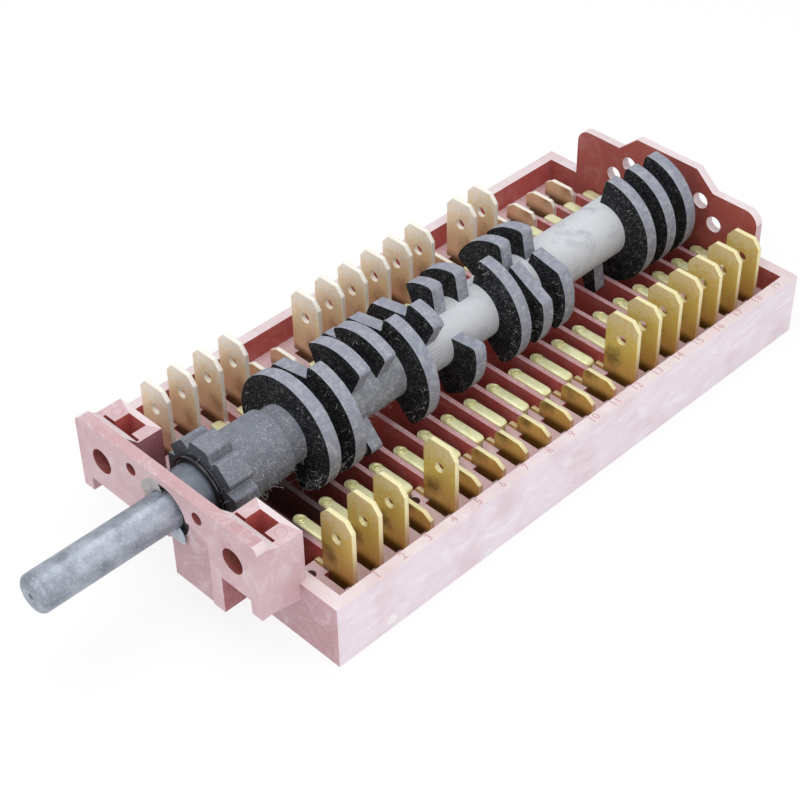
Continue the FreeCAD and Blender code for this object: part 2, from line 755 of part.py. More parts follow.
def make_bridge_springs():
    """A bent leaf on each chamber's floor that joins the two rivets above its tips."""
    body = new_body("bridge_springs")
    body.AllowCompound = True
    profile = new_sketch(body, "bridge_profile", "XZ", "strip_front")
    outline(profile, [
        ("-bridge_foot", "chamber_floor"), ("bridge_foot", "chamber_floor"),
        ("bridge_tip", "bridge_tip_bottom"), ("bridge_tip", "bridge_tip_top"),
        ("bridge_foot", "bridge_foot_top"), ("-bridge_foot", "bridge_foot_top"),
        ("-bridge_tip", "bridge_tip_top"), ("-bridge_tip", "bridge_tip_bottom")])
    bridge = pad(body, "bridge", profile, "strip_width", True)
    along_row(body, "bridge_row", [bridge])
    return body


def polar(radius, steps, extra=0):
    """Expressions for the two coordinates of a point at a radius and a count of cam steps."""
    turn = "Sheet.cam_step * %g + %d * Sheet.cam_flare" % (steps, extra)
    return "Sheet.%s * cos(%s)" % (radius, turn), "Sheet.%s * sin(%s)" % (radius, turn)


def polar_point(radius, steps, extra=0):
    """The same point as numbers."""
    turn = value("cam_step") * steps + value("cam_flare") * extra
    return Rotation(Vector(0, 0, 1), turn).multVec(Vector(value(radius), 0, 0))


def pin_point(sketch, geometry, end, numbers, expressions):
    """Tie both coordinates of a point."""
    fix(sketch, "DistanceX", geometry, end, numbers.x, expressions[0])
    fix(sketch, "DistanceY", geometry, end, numbers.y, expressions[1])


def lobe_outline(sketch, lobe):
    """One lobe: an arc about the axis, a flank or a ramp at each end, and the lines to the axis."""
    ramp_in, start, end, ramp_out = lobe
    foot_in = ("cam_ramp_radius", start - ramp_in, 0) if ramp_in else ("cam_root_radius", start, -1)
    foot_out = ("cam_ramp_radius", end + ramp_out, 0) if ramp_out else ("cam_root_radius", end, 1)
    corners = [polar_point(*foot_in), polar_point("cam_radius", start),
               polar_point("cam_radius", end), polar_point(*foot_out)]
    ring = Part.Circle(Vector(0, 0, 0), Vector(0, 0, 1), value("cam_radius"))
    first_turn = angle(value("cam_step") * start)
    last_turn = angle(value("cam_step") * end)
    arc = sketch.addGeometry(Part.ArcOfCircle(ring, first_turn, last_turn), False)
    hub = Vector(0, 0, 0)
    flank_out = sketch.addGeometry(Part.LineSegment(corners[2], corners[3]), False)
    spoke_out = sketch.addGeometry(Part.LineSegment(corners[3], hub), False)
    spoke_in = sketch.addGeometry(Part.LineSegment(hub, corners[0]), False)
    flank_in = sketch.addGeometry(Part.LineSegment(corners[0], corners[1]), False)
    for a, b in ((flank_out, spoke_out), (spoke_out, spoke_in), (spoke_in, flank_in)):
        sketch.addConstraint(Constraint("Coincident", a, 2, b, 1))
    sketch.addConstraint(Constraint("Coincident", arc, 3, -1, 1))
    sketch.addConstraint(Constraint("Coincident", spoke_in, 1, -1, 1))
    sketch.addConstraint(Constraint("Coincident", arc, 2, flank_out, 1))
    sketch.addConstraint(Constraint("Coincident", flank_in, 2, arc, 1))
    pin_point(sketch, flank_out, 2, corners[3], polar(*foot_out))
    pin_point(sketch, flank_in, 1, corners[0], polar(*foot_in))
    pin_point(sketch, flank_in, 2, corners[1], polar("cam_radius", start))
    tie_arc_end(sketch, flank_out, corners[2], polar("cam_radius", end))


def tie_arc_end(sketch, flank, numbers, expressions):
    """Tie the arc's far end by the coordinate that changes faster there."""
    if abs(numbers.y) > abs(numbers.x):
        fix(sketch, "DistanceX", flank, 1, numbers.x, expressions[0])
    else:
        fix(sketch, "DistanceY", flank, 1, numbers.y, expressions[1])


def make_camshaft():
    """The camshaft: a tube with a lugged sleeve in front and a cam at most stations."""
    body = new_body("camshaft")
    profile = new_sketch(body, "shaft_profile", "YZ")
    outline(profile, [
        ("shaft_front", "0"), ("shaft_back", "0"), ("shaft_back", "tube_radius"),
        ("sleeve_back", "tube_radius"), ("sleeve_back", "sleeve_radius"),
        ("collar_front", "sleeve_radius"), ("collar_front", "tube_radius"),
        ("shaft_front", "tube_radius")])
    revolve(body, "shaft_tube", profile)
    lug = new_sketch(body, "lug_outline", "XZ", "collar_front")
    outline(lug, [
        ("-lug_root_half", "cam_root_radius"), ("lug_root_half", "cam_root_radius"),
        ("lug_half_width", "lug_radius"), ("-lug_half_width", "lug_radius")])
    lug_pad = pad(body, "lug", lug, "lug_length", True)
    lugs = body.newObject("PartDesign::PolarPattern", "lugs")
    lugs.Originals = [lug_pad]
    lugs.Axis = (origin_feature(body, "Y_Axis"), [""])
    lugs.Angle = FULL_TURN
    lugs.Occurrences = int(value("lug_count"))
    lugs.setExpression("Occurrences", "Sheet.lug_count")
    body.Tip = lugs
    doc.recompute()

    def at_lug_corner(point):
        return near(point.Length, Vector(value("lug_half_width"), point.y, value("lug_radius")).Length)

    fillet(body, "lug_corners", lugs, Vector(0, 1, 0), at_lug_corner, "lug_corner")
    add_cams(body)
    doc.recompute()

    def at_lobe_corner(point):
        radius = Vector(point.x, 0, point.z).Length
        return near(radius, value("cam_radius"))

    fillet(body, "lobe_corners", body.Tip, Vector(0, 1, 0), at_lobe_corner, "cam_corner")
    socket = new_sketch(body, "socket_outline", "XZ", "shaft_front")
    rectangle(socket, "-socket_half", "socket_half", "-socket_half", "socket_half")
    pocket(body, "socket", socket, "socket_depth")
    bore = new_sketch(body, "pivot_bore_outline", "XZ", "shaft_back")
    circle(bore, "0", "0", "pivot_bore_radius")
    pocket(body, "pivot_bore", bore, "pivot_bore_depth", True)
    return body


def add_cams(body):
    """Pad every lobe at its station, just in front of that station's rib."""
    for station, lobes in CAM_LOBES.items():
        for number, lobe in enumerate(lobes):
            name = "cam_%02d_lobe_%d" % (station, number + 1)
            sketch = new_sketch(body, name + "_outline", "XZ")
            place = "-(Sheet.cam_front_first + Sheet.station_pitch * %d)" % (station - 1)
            depth = value("cam_front_first") + value("station_pitch") * (station - 1)
            sketch.AttachmentOffset = Placement(Vector(0, 0, -depth), Rotation())
            sketch.setExpression("AttachmentOffset.Base.z", place)
            lobe_outline(sketch, lobe)
            pad(body, name, sketch, "cam_thickness", True)


def make_spindle():
    """The steel spindle: the knob's end, the journal in the plate and a square tang."""
    body = new_body("spindle")
    profile = new_sketch(body, "spindle_profile", "YZ")
    outline(profile, [
        ("centre_hole_end", "0"), ("shaft_front", "0"), ("shaft_front", "journal_radius"),
        ("journal_recess", "journal_radius"), ("journal_recess", "spindle_radius"),
        ("spindle_front", "spindle_radius"), ("spindle_front", "centre_hole_radius"),
        ("centre_hole_end", "centre_hole_radius")])
    turned = revolve(body, "spindle_turned", profile)
    doc.recompute()
    tip = body.newObject("PartDesign::Fillet", "spindle_tip")
    names = []
    for i, edge in enumerate(turned.Shape.Edges):
        at_tip = near(edge.CenterOfMass.y, value("spindle_front"))
        is_ring = edge.Curve.TypeId == "Part::GeomCircle"
        if at_tip and is_ring and near(edge.Curve.Radius, value("spindle_radius")):
            names.append("Edge%d" % (i + 1))
    tip.Base = (turned, names)
    tip.Radius = value("spindle_tip_round")
    tip.setExpression("Radius", "Sheet.spindle_tip_round")
    tang = new_sketch(body, "tang_outline", "XZ", "shaft_front")
    rectangle(tang, "-tang_half", "tang_half", "-tang_half", "tang_half")
    pad(body, "tang", tang, "tang_length", True)
    return body


def make_rear_pivot():
    """The headed pin that the camshaft's rear end turns on."""
    body = new_body("rear_pivot")
    profile = new_sketch(body, "pivot_profile", "YZ")
    outline(profile, [
        ("pivot_front", "0"), ("back_plate_back", "0"), ("back_plate_back", "pivot_head_radius"),
        ("pivot_head_front", "pivot_head_radius"), ("pivot_head_front", "pivot_radius"),
        ("pivot_front", "pivot_radius")])
    revolve(body, "pivot_turned", profile)
    return body


def make_detent_leaf():
    """The bent leaf whose nose works between the lugs of the collar."""
    body = new_body("detent_leaf")
    profile = new_sketch(body, "leaf_profile", "XZ", "leaf_front")
    right_top = [
        ("leaf_foot_outer", "leaf_foot_top"), ("leaf_foot_inner", "leaf_foot_top"),
        ("leaf_knee_half", "leaf_knee_top")]
    right_bottom = [
        ("leaf_knee_half", "leaf_knee_bottom"), ("leaf_foot_inner", "chamber_floor"),
        ("leaf_foot_outer", "chamber_floor")]
    left_top = [(opposite(x), z) for x, z in reversed(right_top)]
    left_bottom = [(opposite(x), z) for x, z in reversed(right_bottom)]
    outline(profile, right_top + [("0", "leaf_nose_top")] + left_top + left_bottom
            + [("0", "leaf_nose_bottom")] + right_bottom)
    pad(body, "leaf", profile, "leaf_width", True)
    return body


pieces = [make_housing(), make_camshaft(), make_spindle(), make_rear_pivot(), make_detent_leaf()]
for station in range(1, int(value("station_count")) + 1):
    pieces.append(make_terminal("right", station, station in TALL_RIGHT))
    pieces.append(make_terminal("left", station, station in TALL_LEFT))
for side, sign in (("right", ""), ("left", "-")):
    pieces.append(make_fixed_contacts(side, sign))
    pieces.append(make_rivets(side, sign))
pieces.append(make_bridge_springs())
doc.recompute()

for item in doc.Objects:
    if "Invalid" in item.State or "Error" in item.State:
        raise RuntimeError("%s is in state %s" % (item.Label, item.State))
for piece in pieces:
    if piece.Shape.isNull() or not piece.Shape.isValid():
        raise RuntimeError(piece.Label + " has no valid shape")

os.makedirs("parts", exist_ok=True)
for piece in pieces:
    piece.Shape.exportStep("parts/%s.step" % piece.Label)
    print(piece.Label, len(piece.Shape.Solids), round(piece.Shape.Volume, 2))
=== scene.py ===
import math

import bmesh
import bpy
import numpy as np
from mathutils import Matrix, Vector


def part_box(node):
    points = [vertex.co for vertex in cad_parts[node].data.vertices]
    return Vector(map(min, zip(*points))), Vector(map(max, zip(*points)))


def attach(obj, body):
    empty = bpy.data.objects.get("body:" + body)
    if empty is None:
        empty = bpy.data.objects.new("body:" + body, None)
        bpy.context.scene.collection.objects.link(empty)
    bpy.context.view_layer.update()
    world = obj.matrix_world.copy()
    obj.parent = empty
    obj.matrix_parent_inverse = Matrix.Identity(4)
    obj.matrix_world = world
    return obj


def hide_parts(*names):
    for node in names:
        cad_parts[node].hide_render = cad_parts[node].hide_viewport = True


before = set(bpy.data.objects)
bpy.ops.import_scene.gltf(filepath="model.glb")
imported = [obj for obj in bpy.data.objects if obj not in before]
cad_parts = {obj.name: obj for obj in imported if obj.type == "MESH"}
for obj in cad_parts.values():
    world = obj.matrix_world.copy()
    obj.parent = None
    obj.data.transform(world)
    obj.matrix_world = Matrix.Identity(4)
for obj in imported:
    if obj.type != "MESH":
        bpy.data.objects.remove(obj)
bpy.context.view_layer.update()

# Oven selector switch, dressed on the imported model. The scene is in metres; sizes below are written
# in millimetres and multiplied by MM. X is across the tray, Y runs back along the shaft, Z is up.
MM = 0.001

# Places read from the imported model, in millimetres
node_boxes = {name: [np.array(corner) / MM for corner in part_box(name)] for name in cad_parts}
housing_low, housing_high = node_boxes["housing"]
STATION_COUNT = 19
stations = [node_boxes["terminal_right_%02d" % (i + 1)][0][1] for i in range(STATION_COUNT)]
station_pitch = stations[1] - stations[0]
strip_box = node_boxes["fixed_contacts_right"]
rivet_box = node_boxes["contact_rivets_right"]

# Heights and edges of the housing that its colours follow
RIM_TOP = -5.4
LEDGE_TOP = -9.7
SIDE_WALL = 1.8
INNER_FRONT = 9.07
INNER_BACK = 107.8
PLATE_BACK = 1.9
TOWER_TOP = 3.65
TOWER_RAMP_BACK = 4.0
PLATE_HALF = 19.3
PLATE_TOP = 5.6
PLATE_CORNER = 1.2
TOWER_INNER = 10.0
# The nut slot and the screw pocket in a tower: from and to, for X, Y and Z
TOWER_HOLLOW = ((10.2, 18.05), (2.9, 7.1), (-5.2, 3.5))

# Round holes in the plates: X and Z of the centre, radius, and the Y between which they run
HOLES = ((14.0, 0.0, 2.05, 0.0, 3.2), (7.0, 3.05, 1.02, 0.0, 2.0),
         (7.6, 1.3, 1.43, INNER_BACK, 109.4), (10.7, -2.0, 1.43, INNER_BACK, 109.4))

# The camshaft: where the first cam starts, a radius just outside the tube and one at the cams' roots
FIRST_CAM_FRONT = 21.9
TUBE_REACH = 5.0
CAM_ROOT_REACH = 5.2

# The contact strips, and how far a rivet stands over its strip
STRIP_THICKNESS = 0.8
RIVET_ABOVE_STRIP = 0.25

# Width of the rounding on each piece's sharp edges
EDGE_ROUND = 0.12
CAM_EDGE_ROUND = 0.18
STEEL_EDGE_ROUND = 0.08
BLADE_EDGE_ROUND = 0.14

# A face looks a way when its normal's part along that way is over FACING. By the largest of the three
# parts it is square to the axes, over SQUARE, or on a rounded edge, under ROUNDED. Its centre may lie
# SLACK past a wall's limit.
FACING = 0.6
SQUARE = 0.995
ROUNDED = 0.99
SLACK = 0.1

# Colours of the moulding, from its clean brick red to the pale dust on its outer faces; some of
# them are painted highlights and some painted shade
BRICK = "#c25b55"
FLOOR_SHADE_BRICK = "#6a2c28"
BACK_WALL_SHADE = "#a85048"
FRONT_PINK = "#d3b3b9"
APRON_PINK = "#c6a3a9"
SIDE_LILAC = "#ecdde6"
TOP_DUST_AND_HIGHLIGHT = "#eddcdf"
LEDGE_DUST_AND_HIGHLIGHT = "#e0c3c8"
RAMP_PINK = "#d0abb0"
SHADED_PINK = "#a9686e"
TOWER_PINK = "#d9b9be"
ARCH_PINK = "#cda6aa"
RIB_TOP_PINK = "#c99ba0"
WALL_SHADE_PINK = "#c39ea4"
EDGE_HIGHLIGHT_PALE = "#ecdde0"
PLATE_EDGE = "#b76f74"
INNER_EDGE_HIGHLIGHT = "#c28f90"
HOLE_WALL_SHADE = "#8f443f"
DISC_PALE = "#fdf9fb"
RING_PINK = "#cfa8ad"
NUMBER_PINK = "#d2adb2"

# Colours of the camshaft's dusty faces, where they look up and where they look down; the upper
# colour is dust with a painted highlight, the lower painted shade
RIM_GREY = ("#9296a4", "#5f626a")
TUBE_PALE = ("#d9dce1", "#858992")
TUBE_GREY = ("#8f939b", "#555960")
SLEEVE_GREY = ("#7b808b", "#3c3f45")
CAM_EDGE_HIGHLIGHT = ("#cdd1da", "#9da0a9")
# Colours of its faces across the shaft, on the cams and on the collar
CAM_BLACK = "#0b0d12"
COLLAR_FACE = "#4f535b"


def linear(hex_colour):
    """An sRGB hex colour as linear red, green, blue and alpha."""
    parts = [int(hex_colour[i:i + 2], 16) / 255 for i in (1, 3, 5)]
    return [p / 12.92 if p <= 0.04045 else ((p + 0.055) / 1.055) ** 2.4 for p in parts] + [1.0]


def per_mm(size):
    """Scale of a pattern whose marks are about that many millimetres apart."""
    return 1 / (size * MM)


# A mix node's sockets by number, for colours and for vectors
FACTOR, COLOUR_A, COLOUR_B, MIXED = 0, 6, 7, 2
VECTOR_A, VECTOR_B, VECTOR_MIXED = 4, 5, 1


def connect(tree, node, inputs):
    """Set some of a node's sockets, each to a plain value or to the output that is linked to it."""
    for socket, source in inputs.items():
        if isinstance(source, bpy.types.NodeSocket):
            tree.links.new(source, node.inputs[socket])
        else:
            node.inputs[socket].default_value = source


def add_node(tree, kind, inputs=None, **settings):
    """Add one node with its settings and inputs."""
    node = tree.nodes.new(kind)
    for name, setting in settings.items():
        setattr(node, name, setting)
    connect(tree, node, inputs or {})
    return node


def laid_over(tree, under, over, mask, share):
    """A colour laid over another by a mask times a share."""
    amount = add_node(tree, "ShaderNodeMath", {0: mask, 1: share}, operation="MULTIPLY")
    mixed = add_node(tree, "ShaderNodeMix", {
        FACTOR: amount.outputs["Value"], COLOUR_A: under, COLOUR_B: linear(over)}, data_type="RGBA")
    return mixed.outputs[MIXED]


def distance_from_axis(tree, place):
    """How far a place is from the shaft's axis: the length of its X and Z parts."""
    flat = add_node(tree, "ShaderNodeVectorMath", {0: place, 1: (1, 0, 1)}, operation="MULTIPLY")
    length = add_node(tree, "ShaderNodeVectorMath", {0: flat.outputs["Vector"]}, operation="LENGTH")
    return length.outputs["Value"]


def empty_tree(owner):
    """The node tree of a material or a world, with nothing in it."""
    owner.use_nodes = True
    owner.node_tree.nodes.clear()
    return owner.node_tree


def new_material(name):
    """A material with its tree, its shader and its object coordinates."""
    material = bpy.data.materials.new(name)
    tree = empty_tree(material)
    shader = add_node(tree, "ShaderNodeBsdfPrincipled")
    add_node(tree, "ShaderNodeOutputMaterial", {"Surface": shader.outputs["BSDF"]})
    coords = add_node(tree, "ShaderNodeTexCoord")
    return material, tree, shader, coords


def thermoset_moulding():
    """Polyester thermoset, compression moulded: matt, brick red, with pale dust and rubbed smears,
    and dark grease with painted shade under the sleeve.
    """
    material, tree, shader, coords = new_material("dusty_polyester_thermoset")
    place = coords.outputs["Object"]
    tone = add_node(tree, "ShaderNodeAttribute", attribute_name="moulding_tone")
    share = add_node(tree, "ShaderNodeAttribute", attribute_name="moulding_exposed")
    exposed = share.outputs["Fac"]
    # rubbed smears of dust, about 3 mm across; on the side wall, where the share of dust is above 1,
    # they are drawn out along the tray
    wiped = add_node(tree, "ShaderNodeMapRange", {
        "Value": exposed, "From Min": 0.95, "From Max": 1.05})
    stretched = add_node(tree, "ShaderNodeMapping", {"Vector": place, "Scale": (1, 0.38, 1)})
    smear_place = add_node(tree, "ShaderNodeMix", {
        FACTOR: wiped.outputs["Result"], VECTOR_A: place,
        VECTOR_B: stretched.outputs["Vector"]}, data_type="VECTOR")
    smears = add_node(tree, "ShaderNodeTexNoise", {
        "Vector": smear_place.outputs[VECTOR_MIXED], "Scale": per_mm(3.2), "Detail": 12.0,
        "Roughness": 0.80, "Distortion": 0.8})
    smear_mask = add_node(tree, "ShaderNodeMapRange", {
        "Value": smears.outputs["Fac"], "From Min": 0.49, "From Max": 0.62, "To Max": 0.72})
    smeared = laid_over(tree, tone.outputs["Color"], "#f5f0f6", smear_mask.outputs["Result"], exposed)
    # cloudy places where the red shows through, about 8 mm across
    clouds = add_node(tree, "ShaderNodeTexNoise", {
        "Vector": place, "Scale": per_mm(8), "Detail": 4.0, "Roughness": 0.55})
    cloud_mask = add_node(tree, "ShaderNodeMapRange", {
        "Value": clouds.outputs["Fac"], "From Min": 0.48, "From Max": 0.72, "To Max": 0.30})
    clouded = add_node(tree, "ShaderNodeMix", {
        FACTOR: cloud_mask.outputs["Result"], COLOUR_A: smeared,
        COLOUR_B: linear("#cf9fa3")}, data_type="RGBA", blend_type="MULTIPLY")
    # fine scratches along the side wall, 0.4 mm apart
    drawn = add_node(tree, "ShaderNodeMapping", {"Vector": place, "Scale": (1, 0.05, 1)})
    scratches = add_node(tree, "ShaderNodeTexNoise", {
        "Vector": drawn.outputs["Vector"], "Scale": per_mm(0.4), "Detail": 3.0, "Distortion": 0.3})
    scratch_mask = add_node(tree, "ShaderNodeMapRange", {
        "Value": scratches.outputs["Fac"], "From Min": 0.60, "From Max": 0.67, "To Max": 0.55})
    scratched = laid_over(tree, clouded.outputs[MIXED], "#f7eef2", scratch_mask.outputs["Result"],
                          wiped.outputs["Result"])
    # pale specks of filler and dust, 0.3 mm, drawn a little coarser than they are
    grains = add_node(tree, "ShaderNodeTexNoise", {
        "Vector": place, "Scale": per_mm(0.32), "Detail": 2.0, "Roughness": 0.7})
    grain_mask = add_node(tree, "ShaderNodeMapRange", {
        "Value": grains.outputs["Fac"], "From Min": 0.58, "From Max": 0.70, "To Max": 0.50})
    speckled = laid_over(tree, scratched, "#f3e6e8", grain_mask.outputs["Result"], exposed)
    # dark grease and painted shade on the tray under the sleeve: near the axis, behind the front wall
    parts = add_node(tree, "ShaderNodeSeparateXYZ", {"Vector": place})
    near_axis = add_node(tree, "ShaderNodeMapRange", {
        "Value": distance_from_axis(tree, place), "From Min": 16 * MM, "From Max": 12.5 * MM})
    forward = add_node(tree, "ShaderNodeMapRange", {
        "Value": parts.outputs["Y"], "From Min": 32 * MM, "From Max": 20 * MM, "To Max": 0.88})
    behind_wall = add_node(tree, "ShaderNodeMath", {
        0: parts.outputs["Y"], 1: (INNER_FRONT - SLACK) * MM}, operation="GREATER_THAN")
    in_front = add_node(tree, "ShaderNodeMath", {
        0: forward.outputs["Result"], 1: behind_wall.outputs["Value"]}, operation="MULTIPLY")
    greasy = laid_over(tree, speckled, "#150f11", near_axis.outputs["Result"],
                       in_front.outputs["Value"])
    rough = add_node(tree, "ShaderNodeMapRange", {
        "Value": clouds.outputs["Fac"], "To Min": 0.52, "To Max": 0.74})
    relief = add_node(tree, "ShaderNodeBump", {
        "Height": grains.outputs["Fac"], "Distance": 0.04 * MM, "Strength": 0.6})
    connect(tree, shader, {"Base Color": greasy, "Roughness": rough.outputs["Result"], "IOR": 1.54,
                           "Normal": relief.outputs["Normal"]})
    return material


def cam_moulding():
    """Glass-filled black nylon, injection moulded: dark matt faces, with pale dust on the rims and
    the tube."""
    material, tree, shader, coords = new_material("dusty_black_nylon")
    place = coords.outputs["Object"]
    tone = add_node(tree, "ShaderNodeAttribute", attribute_name="moulding_tone")
    share = add_node(tree, "ShaderNodeAttribute", attribute_name="moulding_exposed")
    exposed = share.outputs["Fac"]
    # fine pale streaks, 0.5 mm wide, that run a little longer along the shaft
    drawn = add_node(tree, "ShaderNodeMapping", {"Vector": place, "Scale": (1, 0.4, 1)})
    ridges = add_node(tree, "ShaderNodeTexNoise", {
        "Vector": drawn.outputs["Vector"], "Scale": per_mm(0.5), "Detail": 5.0, "Roughness": 0.7})
    ridge_mask = add_node(tree, "ShaderNodeMapRange", {
        "Value": ridges.outputs["Fac"], "From Min": 0.46, "From Max": 0.70, "To Max": 0.25})
    ridged = laid_over(tree, tone.outputs["Color"], "#d3d6dc", ridge_mask.outputs["Result"], exposed)
    # darker rubbed places on the dusty tube, 5 mm across
    rubs = add_node(tree, "ShaderNodeTexNoise", {
        "Vector": place, "Scale": per_mm(5), "Detail": 5.0, "Roughness": 0.6, "Distortion": 0.8})
    rub_mask = add_node(tree, "ShaderNodeMapRange", {
        "Value": rubs.outputs["Fac"], "From Min": 0.54, "From Max": 0.70, "To Max": 0.5})
    rubbed = laid_over(tree, ridged, "#868d9b", rub_mask.outputs["Result"], exposed)
    # patches of pale dust, 1.2 mm across with ragged edges
    dust = add_node(tree, "ShaderNodeTexNoise", {
        "Vector": place, "Scale": per_mm(1.2), "Detail": 9.0, "Roughness": 0.80})
    dust_mask = add_node(tree, "ShaderNodeMapRange", {
        "Value": dust.outputs["Fac"], "From Min": 0.48, "From Max": 0.66, "To Max": 0.62})
    dusted = laid_over(tree, rubbed, "#cdced2", dust_mask.outputs["Result"], exposed)
    # white specks of dust, 0.2 mm, thicker where the dust lies; the tone's alpha is their share
    specks = add_node(tree, "ShaderNodeTexNoise", {
        "Vector": place, "Scale": per_mm(0.2), "Detail": 2.0, "Roughness": 0.8})
    speck_mask = add_node(tree, "ShaderNodeMapRange", {
        "Value": specks.outputs["Fac"], "From Min": 0.56, "From Max": 0.72, "To Max": 1.0})
    speck_share = add_node(tree, "ShaderNodeMapRange", {
        "Value": dust.outputs["Fac"], "From Min": 0.40, "From Max": 0.60, "To Min": 0.35,
        "To Max": 1.7})
    gathered = add_node(tree, "ShaderNodeMath", {
        0: speck_mask.outputs["Result"], 1: speck_share.outputs["Result"]}, operation="MULTIPLY")
    speckled = laid_over(tree, dusted, "#d4d6da", gathered.outputs["Value"], tone.outputs["Alpha"])
    relief = add_node(tree, "ShaderNodeBump", {
        "Height": specks.outputs["Fac"], "Distance": 0.05 * MM, "Strength": 0.7})
    connect(tree, shader, {"Base Color": speckled, "Roughness": 0.68, "IOR": 1.53,
                           "Specular IOR Level": 0.14, "Normal": relief.outputs["Normal"]})
    return material


def spindle_metal():
    """Turned steel gone dull: a soft sheen with long faint turning marks and pale blotches."""
    material, tree, shader, coords = new_material("dull_turned_steel")
    place = coords.outputs["Object"]
    blotches = add_node(tree, "ShaderNodeTexNoise", {
        "Vector": place, "Scale": per_mm(4), "Detail": 6.0, "Roughness": 0.65})
    blotch_mask = add_node(tree, "ShaderNodeMapRange", {
        "Value": blotches.outputs["Fac"], "From Min": 0.25, "From Max": 0.75})
    blotched = add_node(tree, "ShaderNodeMix", {
        FACTOR: blotch_mask.outputs["Result"], COLOUR_A: linear("#5d6573"),
        COLOUR_B: linear("#b6bdc9")}, data_type="RGBA")
    # fine pale specks, 0.35 mm
    specks = add_node(tree, "ShaderNodeTexNoise", {
        "Vector": place, "Scale": per_mm(0.35), "Detail": 4.0, "Roughness": 0.75})
    speck_mask = add_node(tree, "ShaderNodeMapRange", {
        "Value": specks.outputs["Fac"], "From Min": 0.56, "From Max": 0.70, "To Max": 0.60})
    colour = add_node(tree, "ShaderNodeMix", {
        FACTOR: speck_mask.outputs["Result"], COLOUR_A: blotched.outputs[MIXED],
        COLOUR_B: linear("#d9dce2")}, data_type="RGBA")
    # painted shade, with grease, on the journal's front face in the bore's recess: more than
    # 3.05 mm from the axis and near the plate's face
    parts = add_node(tree, "ShaderNodeSeparateXYZ", {"Vector": place})
    beyond = add_node(tree, "ShaderNodeMath", {
        0: distance_from_axis(tree, place), 1: 3.05 * MM}, operation="GREATER_THAN")
    at_front = add_node(tree, "ShaderNodeMath", {
        0: parts.outputs["Y"], 1: 1.2 * MM}, operation="LESS_THAN")
    recess_shade = laid_over(tree, colour.outputs[MIXED], "#1c1f26", beyond.outputs["Value"],
                         at_front.outputs["Value"])
    # behind the plate's face the steel is dulled by grease
    behind = add_node(tree, "ShaderNodeMapRange", {
        "Value": parts.outputs["Y"], "From Min": 1.3 * MM, "From Max": PLATE_BACK * MM,
        "To Max": 0.75})
    greasy = add_node(tree, "ShaderNodeMix", {
        FACTOR: behind.outputs["Result"], COLOUR_A: recess_shade,
        COLOUR_B: linear("#666d79")}, data_type="RGBA")
    rough = add_node(tree, "ShaderNodeMapRange", {
        "Value": blotches.outputs["Fac"], "To Min": 0.34, "To Max": 0.52})
    # turning marks, 0.4 mm apart along the shaft
    turned = add_node(tree, "ShaderNodeMapping", {"Vector": place, "Scale": (0.05, 1, 0.05)})
    marks = add_node(tree, "ShaderNodeTexNoise", {
        "Vector": turned.outputs["Vector"], "Scale": per_mm(0.4), "Detail": 2.0})
    relief = add_node(tree, "ShaderNodeBump", {
        "Height": marks.outputs["Fac"], "Distance": 0.02 * MM, "Strength": 0.35})
    connect(tree, shader, {"Base Color": greasy.outputs[MIXED], "Metallic": 0.5,
                           "Roughness": rough.outputs["Result"], "Normal": relief.outputs["Normal"]})
    return material


